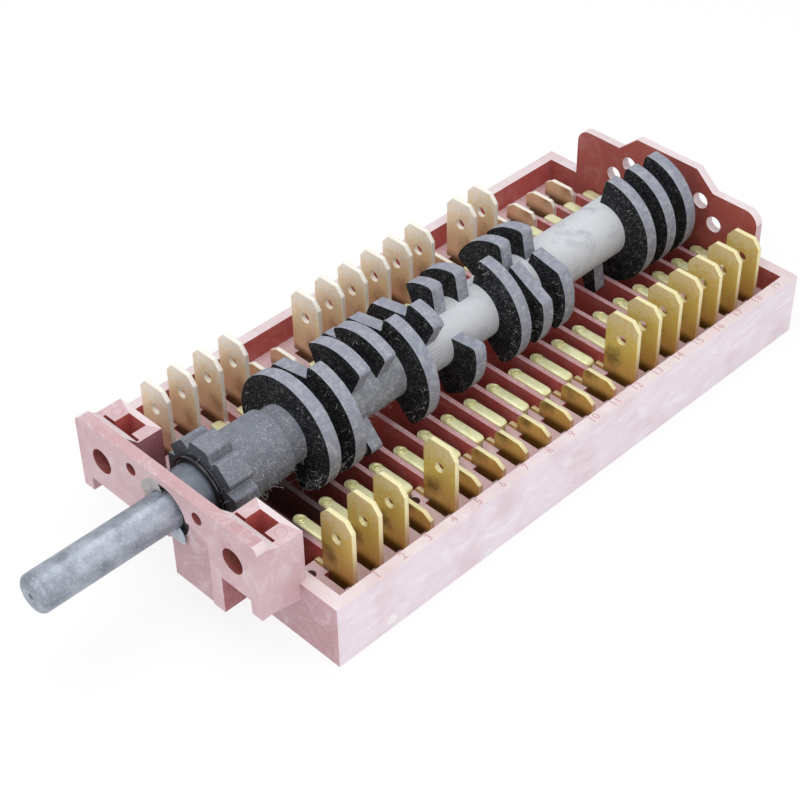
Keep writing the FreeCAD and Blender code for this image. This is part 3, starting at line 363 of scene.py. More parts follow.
def stamped_brass(name, face, edge, stain, smudge, metallic, dust, stain_top):
    """Rolled brass sheet, stamped: satin faces with a brown stain low down, a darker smudge near the
    foot, painted shade on the lowest millimetre, bright cut edges with a painted highlight and some
    dust at the top."""
    material, tree, shader, coords = new_material(name)
    place = coords.outputs["Object"]
    parts = add_node(tree, "ShaderNodeSeparateXYZ", {"Vector": place})
    normal = add_node(tree, "ShaderNodeSeparateXYZ", {"Vector": coords.outputs["Normal"]})
    facing = add_node(tree, "ShaderNodeMath", {0: normal.outputs["Y"]}, operation="ABSOLUTE")
    face_mask = add_node(tree, "ShaderNodeMapRange", {
        "Value": facing.outputs["Value"], "From Min": 0.55, "From Max": 0.9})
    # faint rolling streaks up the blade, 0.8 mm wide
    rolled = add_node(tree, "ShaderNodeMapping", {"Vector": place, "Scale": (1, 1, 0.12)})
    streaks = add_node(tree, "ShaderNodeTexNoise", {
        "Vector": rolled.outputs["Vector"], "Scale": per_mm(0.8), "Detail": 3.0})
    blotches = add_node(tree, "ShaderNodeTexNoise", {
        "Vector": place, "Scale": per_mm(3), "Detail": 4.0, "Roughness": 0.6})
    # the stain, from its top edge down to the blade's foot
    low = add_node(tree, "ShaderNodeMapRange", {
        "Value": parts.outputs["Z"], "From Min": stain_top * MM, "From Max": -9.6 * MM, "To Max": 1.1})
    stained = laid_over(tree, linear(face), stain, low.outputs["Result"], blotches.outputs["Fac"])
    # the smudge: an uneven oval in the blade's inner half that reaches 1.7 mm to each side and 2.1 mm
    # up and down, its place pushed about by up to a millimetre
    mirrored = add_node(tree, "ShaderNodeVectorMath", {0: place}, operation="ABSOLUTE")
    from_middle = add_node(tree, "ShaderNodeVectorMath", {
        0: mirrored.outputs["Vector"], 1: (17.9 * MM, 0, 6.0 * MM)}, operation="SUBTRACT")
    pushes = add_node(tree, "ShaderNodeTexNoise", {
        "Vector": place, "Scale": per_mm(1.8), "Detail": 5.0, "Roughness": 0.7})
    push = add_node(tree, "ShaderNodeVectorMath", {
        0: pushes.outputs["Color"], 1: (0.5, 0.5, 0.5)}, operation="SUBTRACT")
    pushed = add_node(tree, "ShaderNodeVectorMath", {
        0: push.outputs["Vector"], 1: (4 * MM, 0, 5 * MM), 2: from_middle.outputs["Vector"]},
        operation="MULTIPLY_ADD")
    scaled = add_node(tree, "ShaderNodeVectorMath", {
        0: pushed.outputs["Vector"], 1: (per_mm(1.7), 0, per_mm(2.1))}, operation="MULTIPLY")
    distance = add_node(tree, "ShaderNodeVectorMath", {0: scaled.outputs["Vector"]}, operation="LENGTH")
    smudge_mask = add_node(tree, "ShaderNodeMapRange", {
        "Value": distance.outputs["Value"], "From Min": 1.25, "From Max": 0.25, "To Max": 1.4})
    smudged = laid_over(tree, stained, smudge, smudge_mask.outputs["Result"],
                        blotches.outputs["Fac"])
    # painted shade on the blade's lowest millimetre, where it sinks into its slot, but its foot
    # is bright
    mirrored_parts = add_node(tree, "ShaderNodeSeparateXYZ", {"Vector": mirrored.outputs["Vector"]})
    off_foot = add_node(tree, "ShaderNodeMath", {
        0: mirrored_parts.outputs["X"], 1: 16.3 * MM}, operation="GREATER_THAN")
    foot_shade = add_node(tree, "ShaderNodeMapRange", {
        "Value": parts.outputs["Z"], "From Min": -8.2 * MM, "From Max": -9.5 * MM, "To Max": 0.7})
    foot_shaded = laid_over(tree, smudged, "#4b3416", foot_shade.outputs["Result"],
                         off_foot.outputs["Value"])
    # dust on the upper part, in patches of 0.8 mm broken into specks
    specks = add_node(tree, "ShaderNodeTexNoise", {
        "Vector": place, "Scale": per_mm(0.8), "Detail": 9.0, "Roughness": 0.85})
    height = add_node(tree, "ShaderNodeMapRange", {
        "Value": parts.outputs["Z"], "From Min": -4.5 * MM, "From Max": 2.0 * MM, "To Min": -0.12,
        "To Max": 0.14})
    heaped = add_node(tree, "ShaderNodeMath", {
        0: specks.outputs["Fac"], 1: height.outputs["Result"]}, operation="ADD")
    dust_mask = add_node(tree, "ShaderNodeMapRange", {
        "Value": heaped.outputs["Value"], "From Min": 0.49, "From Max": 0.62, "To Max": dust})
    dusted = add_node(tree, "ShaderNodeMix", {
        FACTOR: dust_mask.outputs["Result"], COLOUR_A: foot_shaded,
        COLOUR_B: linear("#f3ede2")}, data_type="RGBA")
    streaked = add_node(tree, "ShaderNodeMix", {
        FACTOR: 0.25, COLOUR_A: dusted.outputs[MIXED],
        COLOUR_B: streaks.outputs["Color"]}, data_type="RGBA", blend_type="SOFT_LIGHT")
    # other faces take the edge colour: bright cut edges with a painted highlight
    colour = add_node(tree, "ShaderNodeMix", {
        FACTOR: face_mask.outputs["Result"], COLOUR_A: linear(edge),
        COLOUR_B: streaked.outputs[MIXED]}, data_type="RGBA")
    rough = add_node(tree, "ShaderNodeMapRange", {
        "Value": blotches.outputs["Fac"], "To Min": 0.30, "To Max": 0.50})
    relief = add_node(tree, "ShaderNodeBump", {
        "Height": streaks.outputs["Fac"], "Distance": 0.02 * MM, "Strength": 0.3})
    connect(tree, shader, {"Base Color": colour.outputs[MIXED], "Metallic": metallic,
                           "Roughness": rough.outputs["Result"], "Normal": relief.outputs["Normal"]})
    return material


def plain_finish(name, colour_a, colour_b, mark_size, roughness, metallic=0.0, side=None):
    """A finish of two close colours in soft marks of a given size, with a slight relief. Given a side
    colour, faces that look sideways take it as a painted shade."""
    material, tree, shader, coords = new_material(name)
    marks = add_node(tree, "ShaderNodeTexNoise", {
        "Vector": coords.outputs["Object"], "Scale": per_mm(mark_size), "Detail": 4.0})
    mask = add_node(tree, "ShaderNodeMapRange", {
        "Value": marks.outputs["Fac"], "From Min": 0.35, "From Max": 0.65})
    colour = add_node(tree, "ShaderNodeMix", {
        FACTOR: mask.outputs["Result"], COLOUR_A: linear(colour_a),
        COLOUR_B: linear(colour_b)}, data_type="RGBA")
    result = colour.outputs[MIXED]
    if side:
        # painted shade: faces that look sideways take the darker side colour
        normal = add_node(tree, "ShaderNodeSeparateXYZ", {"Vector": coords.outputs["Normal"]})
        upward = add_node(tree, "ShaderNodeMapRange", {
            "Value": normal.outputs["Z"], "From Min": 0.25, "From Max": 0.8})
        side_shaded = add_node(tree, "ShaderNodeMix", {
            FACTOR: upward.outputs["Result"], COLOUR_A: linear(side), COLOUR_B: result},
            data_type="RGBA")
        result = side_shaded.outputs[MIXED]
    relief = add_node(tree, "ShaderNodeBump", {
        "Height": marks.outputs["Fac"], "Distance": 0.03 * MM, "Strength": 0.4})
    connect(tree, shader, {"Base Color": result, "Metallic": metallic, "Roughness": roughness,
                           "Normal": relief.outputs["Normal"]})
    return material


def put_in_scene(name, data):
    """A new object in the scene, made of a mesh, a camera or a lamp."""
    item = bpy.data.objects.new(name, data)
    bpy.context.scene.collection.objects.link(item)
    return item


def new_object(name, mesh, material, body):
    """Put a finished mesh into the scene on the body that it rides."""
    piece = put_in_scene(name, mesh)
    mesh.materials.clear()
    mesh.materials.append(material)
    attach(piece, body)
    return piece


def softened_mesh(node, edge_round):
    """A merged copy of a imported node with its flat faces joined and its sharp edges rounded."""
    work = bmesh.new()
    work.from_mesh(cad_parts[node].data)
    bmesh.ops.remove_doubles(work, verts=work.verts, dist=0.002 * MM)
    flat_angle, sharp_angle = math.radians(0.4), math.radians(32)
    bmesh.ops.dissolve_limit(work, angle_limit=flat_angle, verts=work.verts, edges=work.edges)
    sharp = [edge for edge in work.edges
             if edge.is_manifold and edge.calc_face_angle() > sharp_angle]
    bmesh.ops.bevel(work, geom=sharp, offset=edge_round * MM, segments=2, profile=0.6,
                    affect="EDGES", clamp_overlap=True)
    bmesh.ops.triangulate(work, faces=[face for face in work.faces if len(face.verts) > 4],
                          ngon_method="EAR_CLIP")
    mesh = bpy.data.meshes.new(node + "_softened")
    work.to_mesh(mesh)
    work.free()
    return mesh


def face_arrays(mesh):
    """Centres in millimetres and normals of a mesh's faces, as arrays."""
    count = len(mesh.polygons)
    centres = np.empty(count * 3)
    normals = np.empty(count * 3)
    mesh.polygons.foreach_get("center", centres)
    mesh.polygons.foreach_get("normal", normals)
    return centres.reshape(-1, 3) / MM, normals.reshape(-1, 3)


def write_tones(mesh, tones, exposed):
    """Store a linear colour and a share of dust on each face's corners."""
    totals = np.empty(len(mesh.polygons), dtype=int)
    mesh.polygons.foreach_get("loop_total", totals)
    colour = mesh.attributes.new("moulding_tone", "FLOAT_COLOR", "CORNER")
    colour.data.foreach_set("color", np.repeat(tones, totals, axis=0).ravel())
    share = mesh.attributes.new("moulding_exposed", "FLOAT", "CORNER")
    share.data.foreach_set("value", np.repeat(exposed, totals))


def shade(mesh, flat):
    """Flat shading where flat is true and smooth shading elsewhere."""
    mesh.polygons.foreach_set("use_smooth", ~flat)
    mesh.update()


def round_tower_ramps(mesh):
    """Bring the outer ends of the ramps behind the plate down to the curve of the plate's corners: the
    height of a circle of the corner's radius about the corner's centre."""
    points = np.empty(len(mesh.vertices) * 3)
    mesh.vertices.foreach_get("co", points)
    points = points.reshape(-1, 3)
    x, y, z = np.abs(points[:, 0]) / MM, points[:, 1] / MM, points[:, 2] / MM
    centre_x, centre_z = PLATE_HALF - PLATE_CORNER, PLATE_TOP - PLATE_CORNER
    curve = centre_z + np.sqrt(np.clip(PLATE_CORNER ** 2 - (x - centre_x) ** 2, 0, None))
    at_ramp = (x > centre_x) & (y < TOWER_RAMP_BACK) & (z > centre_z)
    points[at_ramp, 2] = np.minimum(z, curve)[at_ramp] * MM
    mesh.vertices.foreach_set("co", points.ravel())
    mesh.update()


def between(values, low, high):
    """Which of the values lie between two limits."""
    return (values > low) & (values < high)


def dress_housing(material):
    """The housing: each face's tone follows where it lies and which way it looks."""
    mesh = softened_mesh("housing", EDGE_ROUND)
    round_tower_ramps(mesh)
    centres, normals = face_arrays(mesh)
    x, y, z = np.abs(centres[:, 0]), centres[:, 1], centres[:, 2]
    nx, ny, nz = normals.T
    largest = np.abs(normals).max(axis=1)
    straight, rounded = largest > SQUARE, largest < ROUNDED
    up, down, forward = nz > FACING, nz < -FACING, ny < -FACING
    outward = nx * np.sign(centres[:, 0])
    tray_half = housing_high[0]
    inside = (x < tray_half - SIDE_WALL + SLACK) & between(y, INNER_FRONT - SLACK, INNER_BACK + SLACK)
    inside &= z < RIM_TOP - 0.05
    tones = np.tile(linear(FRONT_PINK), (len(x), 1))
    exposed = np.full(len(x), 0.38)

    def paint(mask, tone, dust):
        tones[mask] = linear(tone)
        exposed[mask] = dust

    # rims, tower tops, the arch of the front plate and the ramps behind it; the rims are pale with
    # dust and a painted highlight
    paint(up, TOP_DUST_AND_HIGHLIGHT, 0.7)
    paint(up & (y < INNER_FRONT - 2), TOWER_PINK, 0.5)
    paint((nz > 0.3) & (y < PLATE_BACK) & (x < TOWER_INNER) & (z > 5), ARCH_PINK, 0.5)
    on_ramp = (y < TOWER_RAMP_BACK) & (x > TOWER_INNER) & (z > TOWER_TOP + 0.02)
    paint((nz > 0.3) & on_ramp, RAMP_PINK, 0.4)
    # outer walls; the tray's front wall under the plate and the faces that look back take a
    # painted shade
    paint((np.abs(nx) > FACING) & (x > tray_half - 0.2), SIDE_LILAC, 1.1)
    paint(forward & between(y, PLATE_BACK, INNER_FRONT - 0.5), WALL_SHADE_PINK, 0.4)
    paint(forward & between(y, 0.2, PLATE_BACK - SLACK), APRON_PINK, 0.5)
    paint((ny > FACING) & (y < INNER_FRONT + 0.5), WALL_SHADE_PINK, 0.3)
    # inside the tray: walls and floor, ledges and rib tops; the floor deep in the tray takes a
    # painted shade
    paint(inside, BRICK, 0.15)
    paint(inside & up & (z < LEDGE_TOP - 0.3), FLOOR_SHADE_BRICK, 0.1)
    # the ledges are pale with dust and a painted highlight that lifts their shade
    paint(inside & up & (np.abs(z - LEDGE_TOP) < 0.2), LEDGE_DUST_AND_HIGHLIGHT, 0.4)
    paint(inside & up & (z > LEDGE_TOP + 0.5), RIB_TOP_PINK, 0.5)
    # painted shade on the inner face of the back wall
    paint(forward & between(y, INNER_BACK - 0.2, INNER_BACK + 0.6), BACK_WALL_SHADE, 0.1)
    # painted shade on the faces that look down
    paint(down & (z < 0), WALL_SHADE_PINK, 0.2)
    # shaded sides of the towers and their legs, and the underside of the plate
    behind_plate = between(y, PLATE_BACK - SLACK, INNER_FRONT - 1.5)
    tower_side = (outward < -FACING) & behind_plate & between(x, 8, 11) & (z > RIM_TOP)
    leg_side = (outward > FACING) & (y < INNER_FRONT) & between(x, 10.5, 12) & (z < RIM_TOP)
    plate_underside = down & (y < PLATE_BACK + SLACK) & between(z, -12, 0)
    paint(tower_side | leg_side | plate_underside, SHADED_PINK, 0.15)
    in_hollow = nz < FACING
    for values, (low, high) in zip((x, y, z), TOWER_HOLLOW):
        in_hollow &= between(values, low, high)
    paint(in_hollow, BRICK, 0.1)
    # rounded edges, pale with a painted highlight, and the walls of the round holes
    plate_top_edge = (nz > 0.3) & (ny < -0.3) & (y < 0.3) & (z > 3)
    paint(plate_top_edge, PLATE_EDGE, 0.1)
    paint(rounded & ~inside & ~plate_top_edge, EDGE_HIGHLIGHT_PALE, 0.4)
    paint(rounded & inside, INNER_EDGE_HIGHLIGHT, 0.3)
    # the hole walls take painted shade in the front plate and a pale painted highlight in the back plate
    for hole_x, hole_z, radius, front, back in HOLES:
        in_wall = np.hypot(x - hole_x, z - hole_z) < radius + SLACK
        wall_tone = EDGE_HIGHLIGHT_PALE if front > INNER_FRONT else HOLE_WALL_SHADE
        paint(in_wall & between(y, front + 0.15, back) & (np.abs(ny) < FACING), wall_tone, 0.1)
    write_tones(mesh, tones, exposed)
    shade(mesh, straight)
    piece = new_object("housing_moulded", mesh, material, "body")
    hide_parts("housing")


def dress_camshaft(material):
    """The camshaft: near-black faces, bluish grey rims and a dusty tube, paler above with a painted
    highlight and darker below with painted shade, and painted highlights on the cams' edges. The
    alpha of its tones is the share of white specks."""
    mesh = softened_mesh("camshaft", CAM_EDGE_ROUND)
    centres, normals = face_arrays(mesh)
    radius = np.hypot(centres[:, 0], centres[:, 2])
    y = centres[:, 1]
    facing = np.abs(normals[:, 1])
    upward = np.clip(0.55 + 0.45 * normals[:, 2], 0, 1)[:, None]

    # a face's tone runs from its upper colour, dust with a painted highlight, to its lower one, painted
    # shade, as it turns from looking up to looking down
    def lit(colours):
        top, under = (np.array(linear(colour)) for colour in colours)
        return top * upward + under * (1 - upward)

    # rims of the cams
    tones = lit(RIM_GREY)
    exposed = np.full(len(y), 0.8)
    specks = np.full(len(y), 0.5)
    # the tube, paler from 40 mm to 50 mm back
    tube = radius < TUBE_REACH
    paler = np.clip((y - 40) / 10, 0, 1)[:, None]
    tones[tube] = (lit(TUBE_PALE) * paler + lit(TUBE_GREY) * (1 - paler))[tube]
    exposed[tube] = 0.9
    # the collar and the sleeve
    front = y < FIRST_CAM_FRONT
    tones[front] = lit(SLEEVE_GREY)[front]
    exposed[front] = 0.30
    specks[front] = 0.8
    # the cams' rounded edges, pale with a painted highlight, and the faces across the shaft
    edge = between(facing, 0.15, 0.9) & (radius > CAM_ROOT_REACH) & (y > FIRST_CAM_FRONT - 0.3)
    tones[edge] = lit(CAM_EDGE_HIGHLIGHT)[edge]
    dark = (facing > FACING) & ~edge
    tones[dark] = linear(CAM_BLACK)
    exposed[dark] = 0.05
    specks[dark] = 0.35
    tones[dark & (y < 12)] = linear(COLLAR_FACE)
    tones[:, 3] = specks
    write_tones(mesh, tones, exposed)
    shade(mesh, facing > ROUNDED)
    piece = new_object("camshaft_moulded", mesh, material, "camshaft")
    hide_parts("camshaft")


def dress_plain(node, name, material, body, edge_round):
    """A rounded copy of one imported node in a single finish."""
    mesh = softened_mesh(node, edge_round)
    normals = face_arrays(mesh)[1]
    shade(mesh, np.abs(normals).max(axis=1) > SQUARE)
    piece = new_object(name, mesh, material, body)
    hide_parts(node)


def grid_faces(rows, columns, closed):
    """Corner numbers of the quads of a grid of points, row by row. A closed grid also joins its last
    column to its first."""
    row, column = np.meshgrid(np.arange(rows - 1), np.arange(columns if closed else columns - 1),
                              indexing="ij")
    after = (column + 1) % columns
    quads = np.stack([row * columns + column, row * columns + after,
                      (row + 1) * columns + after, (row + 1) * columns + column], axis=-1)
    return quads.reshape(-1, 4)


def mesh_from_grids(name, grids, closed=True):
    """One mesh from grids of points in millimetres."""
    points, faces, used = [], [], 0
    for grid in grids:
        rows, columns = grid.shape[:2]
        points.append(grid.reshape(-1, 3))
        faces.append(grid_faces(rows, columns, closed) + used)
        used += rows * columns
    mesh = bpy.data.meshes.new(name)
    mesh.from_pydata((np.concatenate(points) * MM).tolist(), [], np.concatenate(faces).tolist())
    work = bmesh.new()
    work.from_mesh(mesh)
    bmesh.ops.remove_doubles(work, verts=work.verts, dist=0.0005 * MM)
    bmesh.ops.recalc_face_normals(work, faces=work.faces)
    work.to_mesh(mesh)
    work.free()
    mesh.polygons.foreach_set("use_smooth", np.ones(len(mesh.polygons), dtype=bool))
    return mesh


def strip_grid(inner, outer, front, width, top, thickness, sign):
    """One contact strip. Its outline has a half circle of half the width at the inner end and, at the
    outer end, a squarer curve: the same circle with its cosine and sine raised to a power. Each row
    of the grid is that outline drawn in by an inset and set at a height: the underside from its middle
    line to the edge, up the side, over a rounded shoulder and in to the middle line again. Its top
    rises and falls along the strip."""
    half = width / 2
    turn = np.linspace(0, 2 * np.pi, 32, endpoint=False)
    centre = np.where(np.cos(turn) >= 0, outer - half, inner + half)
    soft, power = 0.2, 0.6
    insets = np.array([half, 0.1, 0.0, 0.0, 0.08, soft, 0.6, half])
    heights = np.array([-thickness, -thickness, -thickness + 0.1, -soft, -0.08, 0.0, 0.03, 0.03])
    reach = (half - insets)[:, None]
    outward = np.where(np.cos(turn) >= 0, np.abs(np.cos(turn)) ** power, np.cos(turn))
    sideways = np.sign(np.sin(turn)) * np.abs(np.sin(turn)) ** np.where(np.cos(turn) >= 0, power, 1.0)
    x = centre[None] + reach * outward[None]
    y = front + half + reach * sideways[None]
    along = (x - inner) / (outer - inner)
    # past the rivet, 0.36 of the way out, the top rises by 0.16; over the last 0.16 it falls by 0.3
    rise = 0.16 * (1 / (1 + np.exp(-(along - 0.36) * 26)))
    fall = 0.30 * np.clip(along - 0.84, 0, 1) / 0.16
    on_top = heights[:, None] > -thickness / 2
    z = top + heights[:, None] + (rise - fall) * on_top
    return np.stack([sign * x, y, z], axis=-1)


def leg_grid(inner, outer, front, back, low, high, sign):
    """A strip's leg: the four corners of its plan at its foot and at its top, closed by a middle point
    at each end."""
    x = np.array([inner, outer, outer, inner])
    y = np.array([front, front, back, back])
    middle_x, middle_y = np.full(4, x.mean()), np.full(4, y.mean())
    rows = [(middle_x, middle_y, low), (x, y, low), (x, y, high), (middle_x, middle_y, high)]
    return np.array([np.stack([sign * a, b, np.full(4, c)], axis=-1) for a, b, c in rows])


def rivet_grid(x, y, radius, base, height):
    """A rivet's head turned about its own axis: a low dome with a ring pressed into it."""
    turn = np.linspace(0, 2 * np.pi, 18, endpoint=False)
    reach = np.array([1.0, 1.0, 0.92, 0.62, 0.54, 0.46, 0.36, 0.0]) * radius
    rise = np.array([0.0, 0.5, 0.85, 0.9, 0.35, 0.85, 1.0, 1.0]) * height
    return np.stack([x + reach[:, None] * np.cos(turn), y + reach[:, None] * np.sin(turn),
                     base + np.repeat(rise[:, None], len(turn), axis=1)], axis=-1)


def make_contacts(brass, silver):
    """Rows of contact strips with their legs and rivets, one strip behind each rib on each side."""
    width = strip_box[1][1] - strip_box[0][1] - station_pitch * (STATION_COUNT - 1)
    first_front = strip_box[0][1]
    inner, outer = strip_box[0][0], strip_box[1][0]
    top = rivet_box[1][2] - RIVET_ABOVE_STRIP
    under = top - STRIP_THICKNESS
    rivet_x = (rivet_box[0][0] + rivet_box[1][0]) / 2
    leg_outer, leg_thickness, leg_margin = outer - 0.5, 0.6, 0.1
    head_radius, head_height, point_radius = 0.9, 0.17, 0.75
    for side, sign in (("right", 1), ("left", -1)):
        strips, rivets = [], []
        for i in range(STATION_COUNT):
            front = first_front + station_pitch * i
            middle = front + width / 2
            strips.append(strip_grid(inner, outer, front, width, top, STRIP_THICKNESS, sign))
            strips.append(leg_grid(leg_outer - leg_thickness, leg_outer, front + leg_margin,
                                   front + width - leg_margin, LEDGE_TOP, under + 0.05, sign))
            rivets.append(rivet_grid(sign * rivet_x, middle, head_radius, top - 0.02, head_height))
            rivets.append(rivet_grid(sign * rivet_x, middle, point_radius, under,
                                     rivet_box[0][2] - under))
        piece = new_object("contact_strips_" + side, mesh_from_grids("contact_strips_" + side, strips),
                           brass, "body")
        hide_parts("fixed_contacts_" + side)
        piece = new_object("rivet_heads_" + side, mesh_from_grids("rivet_heads_" + side, rivets),
                           silver, "body")
        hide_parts("contact_rivets_" + side)


def ring_grid(centre, across, second, radius, wire_radius):
    """A ring of round wire: at each turn a small circle of the wire's radius stands out along the
    ring's radius and along its axis."""
    turn = np.radians(np.linspace(0, 360, 41))[:, None, None]
    around = np.linspace(0, 2 * np.pi, 8, endpoint=False)[None, :, None]
    across, second = np.array(across, dtype=float), np.array(second, dtype=float)
    axis = np.cross(across, second)
    outward = across * np.cos(turn) + second * np.sin(turn)
    return (np.array(centre) + outward * (radius + wire_radius * np.cos(around))
            + axis * wire_radius * np.sin(around))


def make_marks(material, dark):
    """Moulded rings on the tower tops, a plain disc low on the side wall and two dark discs of painted
    shade for the holes in the ledge.
    """
    along_x, along_y = (1, 0, 0), (0, 1, 0)
    ring_x, ring_y, ring_radius, wire_radius = 17.3, 5.9, 0.85, 0.09
    disc_y, disc_z, disc_radius, disc_height = 17.0, -14.9, 0.9, 0.02
    hole_x, hole_radius, hole_places = 16.0, 0.8, (11.7, 32.2)
    rings = [ring_grid((sign * ring_x, ring_y, TOWER_TOP - 0.03), along_x, along_y, ring_radius,
                       wire_radius) for sign in (1, -1)]
    # the disc has a rivet head's form, turned to look along +X
    rings.append(rivet_grid(disc_y, disc_z, disc_radius, housing_high[0], disc_height)[..., [2, 0, 1]])
    mesh = mesh_from_grids("moulded_rings", rings)
    at_side = face_arrays(mesh)[0][:, [0]] > housing_high[0] - 1
    write_tones(mesh, np.where(at_side, linear(DISC_PALE), linear(RING_PINK)),
                np.full(len(mesh.polygons), 0.5))
    new_object("moulded_rings", mesh, material, "body")
    # dark discs of painted shade stand for the holes in the ledge
    holes = [rivet_grid(hole_x, place, hole_radius, LEDGE_TOP + 0.005, 0.01) for place in hole_places]
    new_object("ledge_hole_shades", mesh_from_grids("ledge_hole_shades", holes), dark, "body")


def make_groove_ring(material):
    """The ring of black grease in the groove between the journal and the sleeve."""
    along_x, along_z = (1, 0, 0), (0, 0, 1)
    ring = ring_grid((0, 5.95, 0), along_x, along_z, radius=4.85, wire_radius=0.45)
    new_object("groove_grease", mesh_from_grids("groove_grease", [ring]), material,
               "camshaft")


def tube_grid(path, radius, sides):
    """A thin fibre: a ring of points carried along a path, square to its run at each point, with
    the ring drawn to a point at both ends."""
    run = np.gradient(path, axis=0)
    run /= np.linalg.norm(run, axis=1)[:, None]
    across = np.cross(run, [0.3, 0.5, 0.81])
    across /= np.linalg.norm(across, axis=1)[:, None]
    second = np.cross(run, across)
    turn = np.linspace(0, 2 * np.pi, sides, endpoint=False)
    thin = np.full(len(path), radius)
    thin[[0, -1]] = 0
    ring = across[:, None] * np.cos(turn)[None, :, None] + second[:, None] * np.sin(turn)[None, :, None]
    return path[:, None] + ring * thin[:, None, None]


def lint_path(random, y, angle, radius, length, bend):
    """A fibre's line: an arc that leaves a point at an angle and radius about the shaft and curls in
    its own plane. There is none where it would stray far past the cams or into a rib's place, and a
    small stray is drawn in."""
    start = np.array([radius * math.cos(angle), y, radius * math.sin(angle)])
    outward = start * [1, 0, 1] / radius
    first = random.normal(size=3)
    first -= outward * np.dot(first, outward) * 0.85
    first /= np.linalg.norm(first)
    second = np.cross(first, random.normal(size=3))
    second /= np.linalg.norm(second)
    t = np.linspace(0, 1, 9)[:, None]
    path = start + length * (first * np.sin(bend * t) / bend + second * (1 - np.cos(bend * t)) / bend)
    far = np.hypot(path[:, 0], path[:, 2])
    into_pitch = (path[:, 1] - stations[0]) % station_pitch
    over_rib = (into_pitch > 0.7) & (into_pitch < 1.8) & (path[:, 1] > stations[0])
    clear_of_ribs, within_cams, stray = 7.1, 9.38, 1.04
    limit = np.where(over_rib | (path[:, 1] < INNER_FRONT + 0.2), clear_of_ribs, within_cams)
    if np.any(far > limit * stray):
        return None
    path[:, [0, 2]] *= np.minimum(1, limit / far)[:, None]
    return path


def make_lint(material):
    """Loose fibres of lint on the camshaft, thickest round the collar and the first cams."""
    random = np.random.default_rng(19)
    fibres = []
    cam_middles = [place - 0.6 for place in stations]
    cam_spread, cam_tuft_radius = 1.3, 9.2
    # each tuft: place along the shaft, spread, radius, angles from and to, longest fibre, tries
    tufts = [(8.5, 2.0, 6.4, -40, 150, 2.4, 160), (12, 4, 5.5, -75, 0, 3.4, 200),
             (17, 4, 5.4, -60, 130, 1.2, 320), (30, 9, 4.9, -60, 30, 2.0, 200)]
    # and on the cams: station, angles from and to, longest fibre, tries
    cam_tufts = ((3, -72, -20, 3.2, 420), (4, -72, -20, 3.2, 420), (5, -72, -38, 3.2, 300),
                 (3, -20, 190, 1.4, 160), (4, -20, 90, 1.4, 160), (7, -52, 90, 2.0, 260),
                 (6, 55, 125, 1.2, 80), (8, 55, 90, 1.2, 60), (11, -52, 90, 1.5, 260),
                 (12, -34, 15, 1.5, 160), (13, -34, 30, 1.5, 160), (17, -80, 90, 1.0, 120))
    for station, *rest in cam_tufts:
        tufts.append((cam_middles[station - 1], cam_spread, cam_tuft_radius, *rest))
    for middle, spread, radius, first, last, longest, tries in tufts:
        for _ in range(tries):
            angle = math.radians(random.uniform(first, last))
            place = middle + spread * random.uniform(-1, 1)
            path = lint_path(random, place, angle, radius * random.uniform(0.84, 1.0),
                             longest * random.uniform(0.15, 1.0) ** 1.5, random.uniform(0.6, 3.6))
            if path is not None:
                fibres.append(tube_grid(path, random.uniform(0.010, 0.020), 3))
    mesh = mesh_from_grids("lint_fibres", fibres)
    new_object("lint_fibres", mesh, material, "camshaft")


def grease_grid(start, end, inner, outer, phase):
    """A smear of grease on the plate: a fan of points between two radii and two angles about the
    shaft. It is 0.25 mm thick in the middle and thins to nothing at its edges. Its outer edge is made
    uneven by a sum of three sines of the angle and closes to the inner one at both ends."""
    turn = np.radians(np.linspace(start, end, 25))
    share = np.linspace(0, 1, 9)[:, None]
    wave = sum(np.sin(turn * k + phase * k) / k for k in (5, 9, 14)) * 0.45
    close = np.sin(np.linspace(0, np.pi, 25)) ** 0.5
    reach = inner + (outer - inner) * share * (close + wave * close)
    height = 0.25 * np.sin(np.pi * share) ** 0.6 * close
    return np.stack([reach * np.cos(turn), -height, reach * np.sin(turn)], axis=-1)


def make_grease(blue, beige):
    """Two smears of old grease pressed out of the front bearing."""
    low, high = grease_grid(-88, -26, 3.06, 5.3, phase=1.0), grease_grid(96, 186, 3.08, 5.4, phase=2.3)
    for name, material, smear in (("bearing_grease_low", blue, low), ("bearing_grease_high", beige, high)):
        mesh = mesh_from_grids(name, [smear], closed=False)
        new_object(name, mesh, material, "body")


def make_rim_numbers(material):
    """Raised station numbers on the right rim, read from the right side."""
    digit_height = 1.35
    size_per_height = 1.45
    behind_blade = 1.5
    lift = RIM_TOP - 0.02
    rim_middle = housing_high[0] - SIDE_WALL / 2
    collected = bmesh.new()
    for number, place in enumerate(stations, start=1):
        curve = bpy.data.curves.new("rim_number", "FONT")
        curve.body = str(number)
        curve.size = digit_height * size_per_height * MM
        curve.extrude = 0.06 * MM
        curve.align_x = "CENTER"
        curve.align_y = "CENTER"
        curve.resolution_u = 2
        letter = bpy.data.objects.new("rim_number", curve)
        mesh = bpy.data.meshes.new_from_object(letter)
        turned = Matrix(((0, -1, 0, rim_middle * MM), (1, 0, 0, (place + behind_blade) * MM),
                         (0, 0, 1, lift * MM), (0, 0, 0, 1)))
        mesh.transform(turned)
        collected.from_mesh(mesh)
        bpy.data.objects.remove(letter)
    bmesh.ops.remove_doubles(collected, verts=collected.verts, dist=0.001 * MM)
    mesh = bpy.data.meshes.new("rim_numbers")
    collected.to_mesh(mesh)
    collected.free()
    count = len(mesh.polygons)
    write_tones(mesh, np.tile(linear(NUMBER_PINK), (count, 1)), np.full(count, 0.3))
    new_object("rim_numbers", mesh, material, "body")


